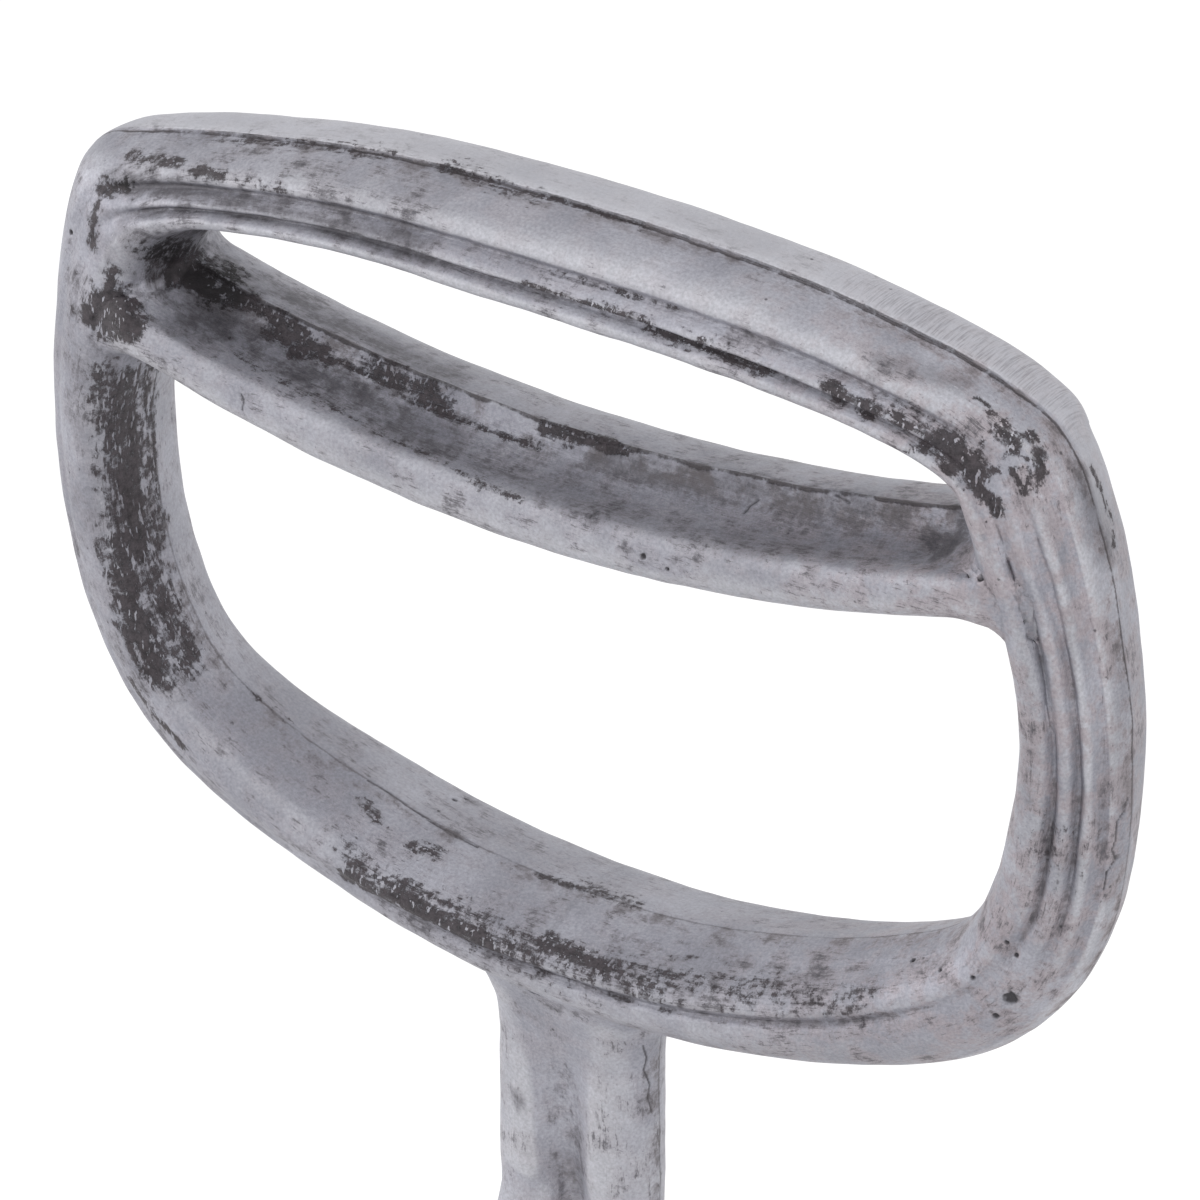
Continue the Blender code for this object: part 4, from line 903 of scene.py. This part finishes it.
radius = add(row, "Math", [point.outputs["X"], facet], operation="MINIMUM")
cosine = add(row, "Math", [angle], operation="COSINE")
sine = add(row, "Math", [angle], operation="SINE")
x = add(row, "Math", [radius, cosine], operation="MULTIPLY")
y = add(row, "Math", [radius, sine], operation="MULTIPLY")
spun = add(row, "CombineXYZ", {"X": x, "Y": y, "Z": point.outputs["Z"]})
shape = add(row, "GeometryNodeSetPosition", {"Geometry": sheet, "Position": spun})
shape = add(row, "GeometryNodeMergeByDistance", {"Geometry": shape, "Distance": WELD_GAP * MM})
places = add(row, "GeometryNodeMeshLine", {"Count": given["Count"], "Start Location": given["First place"],
                                           "Offset": given["Step"]})
number = add(row, "GeometryNodeInputIndex")
turns = add(row, "VectorMath", {0: given["Turn"], "Scale": number}, operation="SCALE")
turns = add(row, "VectorMath", [turns, given["Lie"]], operation="ADD")
placed = add(row, "GeometryNodeInstanceOnPoints", {"Points": places, "Instance": shape, "Rotation": turns})
placed = add(row, "GeometryNodeRealizeInstances", {"Geometry": placed})
placed = add(row, "GeometryNodeSetMaterial", {"Geometry": placed, "Material": given["Finish"]})
add(row, "NodeGroupOutput", [placed])


def set_fasteners(name, profile, finish, first, step=(0, 0, 0), count=1, lie=(0, 0, 0), turn=(0, 0, 0),
                  sides=48, flats=ROUND):
    """Row of turned fasteners as one plain mesh; the profile is (radius, height) in mm, up its outside."""
    mesh = bpy.data.meshes.new(name)
    links = [(k, k + 1) for k in range(len(profile) - 1)]
    mesh.from_pydata([(r * MM, 0, h * MM) for r, h in profile], links, [])
    thing = bpy.data.objects.new(name, mesh)
    bpy.context.scene.collection.objects.link(thing)
    maker = thing.modifiers.new("turned_fasteners", "NODES")
    maker.node_group = row
    values = {"Sides": sides, "Across flats": flats * MM, "First place": [v * MM for v in first],
              "Step": [v * MM for v in step], "Count": count, "Lie": lie, "Turn": turn, "Finish": finish}
    for key, value in values.items():
        maker[row_ids[key]] = value
    made = bpy.data.meshes.new_from_object(thing.evaluated_get(bpy.context.evaluated_depsgraph_get()))
    thing.modifiers.remove(maker)
    thing.data = made
    made.shade_smooth()
    made.set_sharp_from_angle(angle=SHARP)
    return thing


def dome(radius, height, base, steps=8):
    """Domed head from its rim to its crown."""
    bow = np.linspace(0, math.pi / 2, steps + 1)
    return [(radius * math.cos(b), base + height * math.sin(b)) for b in bow]


def rivet(shank, head, tail, seat):
    """Peened tail, shank and domed head."""
    closing = [(r, seat[0] - (h - seat[0])) for r, h in reversed(dome(*tail, seat[0]))]
    return closing + [(shank, seat[0]), (shank, seat[1])] + dome(*head, seat[1])


# Forged rivet steel: dark scale, brighter where it is rubbed, hammer marks about 2 mm wide.
rivet_steel, tree, shader = finish_named("forged_rivet_steel")
place = add(tree, "TexCoord").outputs["Object"]
blow = add(tree, "TexVoronoi", {"Vector": place, "Scale": 1 / (2.2 * MM)}, feature="SMOOTH_F1")
scale = add(tree, "TexNoise", {"Vector": place, "Scale": 1 / (1.5 * MM), "Detail": 5, "Roughness": 0.65})
steel = add(tree, "ValToRGB", [scale], [(0.3, "#5B4A40"), (0.62, "#8C8885")])
rough = add(tree, "MapRange", [scale, 0, 1, 0.65, 0.35])
bump = add(tree, "Bump", {"Height": blow, "Distance": 0.0004, "Strength": 0.5})
feed(tree, shader, {"Base Color": steel, "Metallic": 0.8, "Roughness": rough, "Normal": bump})
LIE_X = (0, math.pi / 2, 0)
FIRST_RIVET = (0, 0, RIVET_HOLE_Z[0])
RIVET_STEP = (0, 0, RIVET_HOLE_Z[1] - RIVET_HOLE_Z[0])
rivet_profile = rivet(RIVET_RADIUS, RIVET_HEAD, RIVET_TAIL, RIVET_SEAT_X)
grip_rivets = set_fasteners("grip_rivets", rivet_profile, rivet_steel, FIRST_RIVET, RIVET_STEP, 2, LIE_X)
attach(grip_rivets, "hoe")
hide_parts("grip_rivet_upper", "grip_rivet_lower")

# Burrs: stamped zinc-plated washers under the peened rivet tails.
# Zinc is pale blue-grey with a fine spangle and dull white corrosion.
zinc, tree, shader = finish_named("dull_zinc_plate")
place = add(tree, "TexCoord").outputs["Object"]
spangle = add(tree, "TexVoronoi", {"Vector": place, "Scale": 1 / (1.1 * MM)})
bloom = add(tree, "TexNoise", {"Vector": place, "Scale": 1 / (3 * MM), "Detail": 6, "Roughness": 0.68})
flake = spangle.outputs["Color"]
tone = add(tree, "Mix", {"Factor": flake, "A": srgb("#8F949A"), "B": srgb("#B4B7B9")}, **COLOUR)
white = add(tree, "MapRange", [bloom, 0.52, 0.66, 0, 0.8], **SMOOTH)
dark = add(tree, "MapRange", [bloom, 0.42, 0.3, 0, 0.8], **SMOOTH)
tone = add(tree, "Mix", {"Factor": white, "A": tone, "B": srgb("#C4C4C0")}, **COLOUR)
tone = add(tree, "Mix", {"Factor": dark, "A": tone, "B": srgb("#6F5A48")}, **COLOUR)
shine = add(tree, "MapRange", [white, 0, 1, 0.85, 0.1])
rough = add(tree, "MapRange", [bloom, 0, 1, 0.3, 0.62])
bump = add(tree, "Bump", {"Height": bloom, "Distance": 0.0002, "Strength": 0.5})
feed(tree, shader, {"Base Color": tone, "Metallic": shine, "Roughness": rough, "Normal": bump})
EASE = 0.25


def washer(bore, outer, span):
    """Ring section with eased edges, up its outside and down its bore."""
    low, high = span
    return [(bore, low + EASE), (bore + EASE, low), (outer - EASE, low), (outer, low + EASE),
            (outer, high - EASE), (outer - EASE, high), (bore + EASE, high), (bore, high - EASE),
            (bore, low + EASE)]


burr_profile = washer(BURR_BORE, BURR_RADIUS, BURR_X)
burrs = set_fasteners("rivet_burrs", burr_profile, zinc, FIRST_RIVET, RIVET_STEP, 2, LIE_X)
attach(burrs, "hoe")
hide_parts("grip_burr_upper", "grip_burr_lower")

# Head socket: drawn steel tube with a rolled rim, tapering onto an oval foot that carries the yoke.
# Dipped in black paint, chipped to brown steel along its rim and edges.
# Rows: half length of the oval's straight part, radius, z, from the bore's bottom over the rim to the base.
SOCKET_ROWS = [(0, 0, -904.3), (0, 10.6, -904.3), (0, 11.2, -903.7), (0, 13.5, -816), (0, 13.9, -815.2),
               (0, 14.8, -814.9), (0, 15.9, -815), (0, 16.6, -815.6), (0, 16.9, -816.6), (0, 16.8, -817.6),
               (0, 16.2, -818.4), (0, 15.8, -819.4), (0, 15.6, -821), (0, 14.6, -858), (0, 13.7, -890),
               (0, 13.6, -896), (0, 14, -901), (0, 14.9, -904.4), (1, 15.2, -905.8), (4, 14.4, -906.35),
               (10, 13.8, -906.5), (16, 13.3, -906.6), (17.6, 13.7, -907), (18, 14, -907.6), (18, 14, -910.8),
               (17.8, 13.7, -911.6), (17, 13.2, -912), (0, 6, -912), (0, 0, -912)]
SOCKET_SIDES = 120
SOCKET_FILL = 5
SOCKET_FOOT_Z = -910
YOKE_RIVET_X = 24.0
YOKE_RIVET_HOLE = 3.3
OVAL_TURN = 5.0
socket_rings = [np.array(SOCKET_ROWS[0], float)[None]]
for a, b in zip(SOCKET_ROWS, SOCKET_ROWS[1:]):
    parts = max(1, int(np.linalg.norm(np.subtract(b, a)) / SOCKET_FILL))
    socket_rings.append(np.linspace(a, b, parts + 1)[1:])
half_oval, radius, z = np.vstack(socket_rings).T[:, :, None]
angle = np.linspace(0, 2 * math.pi, SOCKET_SIDES, endpoint=False)[None]
socket_points = np.stack([half_oval * np.tanh(OVAL_TURN * np.cos(angle)) + radius * np.cos(angle),
                          radius * np.sin(angle), z + 0 * angle], axis=-1).reshape(-1, 3)
socket = solid("painted_socket", socket_points, skin_faces(len(z), SOCKET_SIDES, False)[:-2])
weld(socket)
drill(socket, 1, (0, 0, SOCKET_RIVET_Z), SOCKET_RIVET_HOLE)
for side in (-1, 1):
    drill(socket, 2, (side * YOKE_RIVET_X, 0, SOCKET_FOOT_Z), YOKE_RIVET_HOLE, reach=30)
socket.data.set_sharp_from_angle(angle=SHARP)
give(socket.data, "hollow", hollow_of(socket.data, rounds=6))

# Black paint on steel: soft gloss, chips with bare brown edges where the form is raised, patches of dust.
black, tree, shader = finish_named("chipped_black_paint")
place = add(tree, "TexCoord").outputs["Object"]
raised = add(tree, "Attribute", attribute_name="hollow").outputs["Fac"]
chips = add(tree, "TexNoise", {"Vector": place, "Scale": 1 / (3.5 * MM), "Detail": 7, "Roughness": 0.7})
dust = add(tree, "TexNoise", {"Vector": place, "Scale": 1 / (12 * MM), "Detail": 6, "Roughness": 0.62})
edge = add(tree, "MapRange", [raised, -0.16, 0.05, 0.2, -0.1])
bare = add(tree, "Math", [chips, edge], operation="ADD")
rust = add(tree, "MapRange", [bare, 0.545, 0.575, 0, 1], **SMOOTH)
metal = add(tree, "MapRange", [bare, 0.6, 0.68, 0, 1], **SMOOTH)
coat = add(tree, "Mix", {"Factor": dust, "A": srgb("#1E2021"), "B": srgb("#34373A")}, **COLOUR)
dusty = add(tree, "MapRange", [dust, 0.5, 0.75, 0, 0.55], **SMOOTH)
coat = add(tree, "Mix", {"Factor": dusty, "A": coat, "B": srgb("#6E6254")}, **COLOUR)
under = add(tree, "Mix", {"Factor": metal, "A": srgb("#5F4230"), "B": srgb("#85807C")}, **COLOUR)
face = add(tree, "Mix", {"Factor": rust, "A": coat, "B": under}, **COLOUR)
shine = add(tree, "Math", [metal, 0.8], operation="MULTIPLY")
rough = add(tree, "MapRange", [chips, 0.3, 0.7, 0.36, 0.66])
film = add(tree, "Math", [rust, -1.0, chips], operation="MULTIPLY_ADD")
bump = add(tree, "Bump", {"Height": film, "Distance": 0.00015, "Strength": 0.6})
feed(tree, shader, {"Base Color": face, "Metallic": shine, "Roughness": rough, "Normal": bump})
dress(socket, black)
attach(socket, "hoe")
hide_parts("head_socket")

# Socket rivet: one forged steel rivet across socket and shaft, domed at both ends.
# It keeps the shaft from turning in the socket or drawing out of it.
SOCKET_RIVET_RADIUS = 2.5
SOCKET_RIVET_HEAD = (4.6, 2.0)
SOCKET_RIVET_SEAT = (-16.0, 16.0)
LIE_Y = (math.pi / 2, 0, 0)
rivet_profile = rivet(SOCKET_RIVET_RADIUS, SOCKET_RIVET_HEAD, SOCKET_RIVET_HEAD, SOCKET_RIVET_SEAT)
socket_rivet = set_fasteners("cross_rivet", rivet_profile, rivet_steel, (0, 0, SOCKET_RIVET_Z), lie=LIE_Y)
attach(socket_rivet, "hoe")
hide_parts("socket_rivet")

# Yoke: flat steel bar bent into an upside-down U; its round ears carry the swing axis.
# Painted black like the socket, worn at its edges.
YOKE_THICKNESS = 4.0
YOKE_HALF_WIDTH = 13.0
YOKE_EAR_X = 36.0
YOKE_MIDDLE_Z = -914.3
YOKE_BEND = 3.5
YOKE_EAR_END_Z = -947.0
YOKE_CORNER = 0.6
YOKE_ACROSS = 15
YOKE_STEPS = 14
BEND_STEPS = 10
STRAIGHT_Z = (-928, -922)
WEB_GAP = 2
EAR_TIP = 0.985
EAR_TIP_MARGIN = 0.1
PIVOT_Z = -934.0
PIVOT_HOLE = 4.2


def strap(name, path, section_at):
    """Strap whose section (depth, outward) stands across each point of a path in the xz plane."""
    path = np.asarray(path, float)
    along = np.gradient(path, axis=0)
    along /= np.linalg.norm(along, axis=1)[:, None]
    rings = []
    for (x, z), (ax, az) in zip(path, along):
        rings += [(x - w * az, y, z + w * ax) for y, w in section_at(x, z)]
    around = len(section_at(*path[0]))
    return solid(name, rings, skin_faces(len(path), around, False))


def flat_bar(half_width, half_thick, corner, across):
    """Section of a rolled flat bar with eased corners."""
    flat = np.linspace(-1, 1, across) * (half_width - corner)
    low = [(y, -half_thick) for y in flat]
    high = [(y, half_thick) for y in flat[::-1]]
    side = half_thick - corner
    return low + [(half_width, -side), (half_width, 0), (half_width, side)] + high + [
        (-half_width, side), (-half_width, 0), (-half_width, -side)]


bend = np.linspace(0, math.pi / 2, BEND_STEPS)
yoke_bend = np.stack([YOKE_EAR_X - YOKE_BEND * (1 - np.cos(bend)),
                      YOKE_MIDDLE_Z - YOKE_BEND * (1 - np.sin(bend))], -1)
round_z = YOKE_EAR_END_Z + YOKE_HALF_WIDTH
ear_turn = np.linspace(EAR_TIP, 0, YOKE_STEPS)
ear_z = round_z - YOKE_HALF_WIDTH * np.sin(math.pi / 2 * ear_turn)
web_x = np.linspace(YOKE_EAR_X - YOKE_BEND - WEB_GAP, 0, YOKE_STEPS)
yoke_right = np.vstack([[(YOKE_EAR_X, z) for z in (*ear_z, *STRAIGHT_Z)], yoke_bend,
                        [(x, YOKE_MIDDLE_Z) for x in web_x]])
yoke_path = np.vstack([yoke_right, yoke_right[-2::-1] * [-1, 1]])


def yoke_section(x, z):
    """Flat bar that narrows to the round end of an ear."""
    drop = min(max(round_z - z, 0), YOKE_HALF_WIDTH)
    half = max(math.sqrt(YOKE_HALF_WIDTH ** 2 - drop ** 2), YOKE_CORNER + EAR_TIP_MARGIN)
    return flat_bar(half, YOKE_THICKNESS / 2, YOKE_CORNER, YOKE_ACROSS)


yoke = strap("bent_yoke", yoke_path, yoke_section)
for side in (-1, 1):
    drill(yoke, 2, (side * YOKE_RIVET_X, 0, YOKE_MIDDLE_Z), YOKE_RIVET_HOLE, reach=12)
drill(yoke, 0, (0, 0, PIVOT_Z), PIVOT_HOLE, reach=120)
yoke.data.set_sharp_from_angle(angle=SHARP)
give(yoke.data, "hollow", hollow_of(yoke.data, rounds=4))
dress(yoke, black)
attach(yoke, "hoe")
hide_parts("yoke")

# Yoke rivets: two forged steel rivets through the socket's foot and the yoke.
# Their heads are up, and they are peened over below the yoke.
YOKE_RIVET_RADIUS = 3.0
YOKE_RIVET_HEAD = (5.0, 2.4)
YOKE_RIVET_SEAT = (-4.6, 5.8)
SOCKET_BASE_Z = -912.0
rivet_profile = rivet(YOKE_RIVET_RADIUS, YOKE_RIVET_HEAD, YOKE_RIVET_HEAD, YOKE_RIVET_SEAT)
yoke_rivets = set_fasteners("yoke_rivets", rivet_profile, rivet_steel, (-YOKE_RIVET_X, 0, SOCKET_BASE_Z),
                            (2 * YOKE_RIVET_X, 0, 0), 2)
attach(yoke_rivets, "hoe")
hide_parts("yoke_rivet_left", "yoke_rivet_right")

# Stirrup blade: one strap of spring steel bent to a stirrup and ground to an edge in front and behind.
# It hangs on its two bushes and swings; soil keeps its lower half bright and the upper half browns.
BLADE_PATH = [(32.2, -920), (32.2, -937), (32.2, -953), (39.5, -967), (52, -983), (62.5, -999), (66.8, -1012),
              (65, -1022), (58, -1028.8), (48, -1030), (24, -1030), (0, -1030)]
BLADE_HALF_THICK = 1.2
BLADE_HALF_WIDTH = 12.5
BLADE_BEVEL = 7.5
BLADE_EDGE = 0.5
BLADE_CORNER = 0.3
BLADE_LAND = 0.98
BLADE_BEVEL_Z = (-1012.0, -1030.0)
BLADE_STEPS = 14
BLADE_ACROSS = 9
BUSH_HOLE = 6.3


def blade_section(x, z):
    """Flat outside; on the inside two bevels that grow towards the bottom of the stirrup."""
    grind = np.interp(-z, (-BLADE_BEVEL_Z[0], -BLADE_BEVEL_Z[1]), (0, 1))
    edge = 2 * BLADE_HALF_THICK + (BLADE_EDGE - 2 * BLADE_HALF_THICK) * grind
    inner = BLADE_HALF_WIDTH - max(BLADE_BEVEL * grind, BLADE_CORNER)
    back = BLADE_HALF_THICK - edge * BLADE_LAND
    across = np.linspace(-BLADE_HALF_WIDTH, BLADE_HALF_WIDTH, 2 * BLADE_ACROSS)
    outside = [(y, BLADE_HALF_THICK) for y in across]
    bevel = [(BLADE_HALF_WIDTH + (inner - BLADE_HALF_WIDTH) * t, back + (-BLADE_HALF_THICK - back) * t)
             for t in np.linspace(0, 1, BLADE_ACROSS)]
    flat = [(y, -BLADE_HALF_THICK) for y in np.linspace(inner, -inner, BLADE_ACROSS)[1:-1]]
    return outside + bevel + flat + [(-y, w) for y, w in reversed(bevel)]


blade_right = through(BLADE_PATH, BLADE_STEPS, False)
blade = strap("stirrup_strap", np.vstack([blade_right, blade_right[-2::-1] * [-1, 1]]), blade_section)
drill(blade, 0, (0, 0, PIVOT_Z), BUSH_HOLE, sides=40, reach=120)
blade.data.set_sharp_from_angle(angle=SHARP)

# Spring steel: grey, grinding lines across the edge, soil-bright below, brown blotches above.
spring, tree, shader = finish_named("soil_worn_spring_steel")
place = add(tree, "TexCoord").outputs["Object"]
axes = add(tree, "SeparateXYZ", [place]).outputs
lines_place = add(tree, "Mapping", {"Vector": place,
                                    "Scale": (1 / (0.6 * MM), 1 / (20 * MM), 1 / (0.6 * MM))})
lines = add(tree, "TexNoise", {"Vector": lines_place, "Scale": 1, "Detail": 4, "Roughness": 0.6})
blotch = add(tree, "TexNoise", {"Vector": place, "Scale": 1 / (7 * MM), "Detail": 7, "Roughness": 0.68})
height = add(tree, "MapRange", [axes["Z"], -1.02, -0.95, -0.14, 0.1])
brown = add(tree, "Math", [blotch, height], operation="ADD")
brown = add(tree, "MapRange", [brown, 0.5, 0.66, 0, 0.9], **SMOOTH)
steel = add(tree, "Mix", {"Factor": lines, "A": srgb("#6E6E71"), "B": srgb("#A3A3A6")}, **COLOUR)
rusty = add(tree, "Mix", {"Factor": blotch, "A": srgb("#3D342E"), "B": srgb("#77523A")}, **COLOUR)
face = add(tree, "Mix", {"Factor": brown, "A": steel, "B": rusty}, **COLOUR)
shine = add(tree, "MapRange", [brown, 0, 1, 0.9, 0.25])
rough = add(tree, "MapRange", [brown, 0, 1, 0.36, 0.75])
relief = add(tree, "Math", [brown, blotch, lines], operation="MULTIPLY_ADD")
bump = add(tree, "Bump", {"Height": relief, "Distance": 0.00012, "Strength": 0.5})
feed(tree, shader, {"Base Color": face, "Metallic": shine, "Roughness": rough, "Normal": bump})
dress(blade, spring)
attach(blade, "stirrup")
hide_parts("stirrup_blade")

# Swing axis: a hex bolt through each ear, washers on both sides, a bush in the blade's hole and a lock nut
# inside. All zinc plated; the bolts stay with the yoke and the blade turns on the bushes.
BOLT_RADIUS = 3.9
BOLT_HEAD_RADIUS = 7.5
BOLT_FLATS = 13.0
BOLT_HEAD_X = (40.2, 45.4)
BOLT_END_X = 19.5
THREAD_PITCH = 1.25
THREAD_END_X = 29.0
THREAD_DEPTH = 0.35
THREAD_START = 0.8
THREAD_RUNOUT = 0.6
BOLT_POINT = 0.7
BOLT_BORE = 4.2
BUSH_RADIUS = 6.0
BUSH_X = (30.7, 33.7)
WASHER_RADIUS = 9.0
OUTER_WASHER_X = (38.3, 39.9)
INNER_WASHER_X = (28.8, 30.4)
NUT_X = (21.0, 28.5)
NUT_COLLAR = [(4.6, 0), (5.6, 0.2), (6.1, 1.2), (6.2, 2), (BOLT_HEAD_RADIUS, 2.6)]
HEX_CHAMFER = 0.9
HEX_FACE_RADIUS = BOLT_FLATS / 2 - 0.2
TURN_OVER = (0, -math.pi, 0)
PIVOT_SIDES = 96
thread = []
for x in np.arange(BOLT_END_X + THREAD_START, THREAD_END_X, THREAD_PITCH):
    thread += [(BOLT_RADIUS, x), (BOLT_RADIUS - THREAD_DEPTH, x + THREAD_PITCH / 2)]
bolt_profile = [(0, BOLT_END_X), (BOLT_RADIUS - BOLT_POINT, BOLT_END_X)] + thread + [
    (BOLT_RADIUS, THREAD_END_X + THREAD_RUNOUT), (BOLT_RADIUS, BOLT_HEAD_X[0]),
    (BOLT_HEAD_RADIUS, BOLT_HEAD_X[0]), (BOLT_HEAD_RADIUS, BOLT_HEAD_X[1] - HEX_CHAMFER),
    (HEX_FACE_RADIUS, BOLT_HEAD_X[1]), (0, BOLT_HEAD_X[1])]
nut_profile = [(BOLT_BORE, NUT_X[0])] + [(radius, NUT_X[0] + rise) for radius, rise in NUT_COLLAR] + [
    (BOLT_HEAD_RADIUS, NUT_X[1] - HEX_CHAMFER), (HEX_FACE_RADIUS, NUT_X[1]), (BOLT_BORE, NUT_X[1]),
    (BOLT_BORE, NUT_X[0])]
pivot_rows = {
    "pivot_bolts": ("pivot_bolt", bolt_profile, BOLT_FLATS),
    "pivot_bushes": ("pivot_bush", washer(BOLT_BORE, BUSH_RADIUS, BUSH_X), ROUND),
    "outer_washers": ("outer_washer", washer(BOLT_BORE, WASHER_RADIUS, OUTER_WASHER_X), ROUND),
    "inner_washers": ("inner_washer", washer(BOLT_BORE, WASHER_RADIUS, INNER_WASHER_X), ROUND),
    "lock_nuts": ("lock_nut", nut_profile, BOLT_FLATS)}
for name, (node, profile, flats) in pivot_rows.items():
    pair = set_fasteners(name, profile, zinc, (0, 0, PIVOT_Z), count=2, lie=LIE_X, turn=TURN_OVER,
                         sides=PIVOT_SIDES, flats=flats)
    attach(pair, "hoe")
    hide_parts(node + "_left", node + "_right")

# Stage: pale floor under the stirrup, white surroundings, soft studio light from above and both sides.
# The world is white where the camera sees it.
SKY_LEVEL = 0.79
world = bpy.data.worlds.new("studio")
bpy.context.scene.world = world
world.use_nodes = True
tree = world.node_tree


def seen_share(tree):
    """One for rays that see a thing itself or its mirror image, and nought for those that only light it."""
    rays = add(tree, "LightPath").outputs
    seen = add(tree, "Math", [rays["Is Camera Ray"], rays["Is Transmission Ray"]], operation="MAXIMUM")
    return add(tree, "Math", [seen, rays["Is Glossy Ray"]], operation="MAXIMUM")


level = add(tree, "MapRange", [seen_share(tree), 0, 1, SKY_LEVEL, 1.0])
feed(tree, tree.nodes["Background"], {"Color": (1, 1, 1, 1), "Strength": level})
FLOOR_Z = -1031.4
FLOOR_HALF = 3000.0
FLOOR_SQUARES = 24
# Light added for the camera near the foot, where the shadow lies, and farther off; distances are metres.
FLOOR_LIFT = (0.08, 0.25)
FLOOR_FADE = (0.6, 1.15)
grid = np.linspace(-FLOOR_HALF, FLOOR_HALF, FLOOR_SQUARES + 1)
floor_points = [(x, y, FLOOR_Z) for x in grid for y in grid]
across = FLOOR_SQUARES + 1
floor_faces = [(k * across + j, (k + 1) * across + j, (k + 1) * across + j + 1, k * across + j + 1)
               for k in range(FLOOR_SQUARES) for j in range(FLOOR_SQUARES)]
floor = solid("studio_floor", floor_points, floor_faces)
paper, tree, shader = finish_named("white_paper_floor")
place = add(tree, "TexCoord").outputs["Object"]
from_foot = add(tree, "VectorMath", [place, (0, 0, FLOOR_Z * MM)], operation="DISTANCE")
lift = add(tree, "MapRange", [from_foot, *FLOOR_FADE, *FLOOR_LIFT], **SMOOTH)
lift = add(tree, "Math", [seen_share(tree), lift], operation="MULTIPLY")
feed(tree, shader, {"Emission Strength": lift, "Emission Color": (1, 1, 1, 1), "Base Color": srgb("#F4F4F4"),
                    "Roughness": 0.9, "Specular IOR Level": 0.1})
dress(floor, paper)


def softbox(name, place, target, width, power):
    """Square lamp in metres and watts, turned to a target."""
    lamp = bpy.data.lights.new(name, "AREA")
    lamp.shape = "SQUARE"
    lamp.size = width
    lamp.energy = power
    thing = bpy.data.objects.new(name, lamp)
    bpy.context.scene.collection.objects.link(thing)
    thing.location = place
    thing.rotation_euler = (Vector(target) - Vector(place)).to_track_quat("-Z", "Y").to_euler()


softbox("top_box", (-0.3, -0.6, 1.6), (0, 0, -0.1), 1.4, 5.5)
softbox("left_box", (-1.9, -0.7, 0.2), (0, 0, -0.3), 1.2, 13.5)
softbox("right_box", (1.7, -0.9, 0.3), (0, 0, -0.3), 1.2, 6.2)
bpy.context.scene.view_settings.view_transform = "Standard"
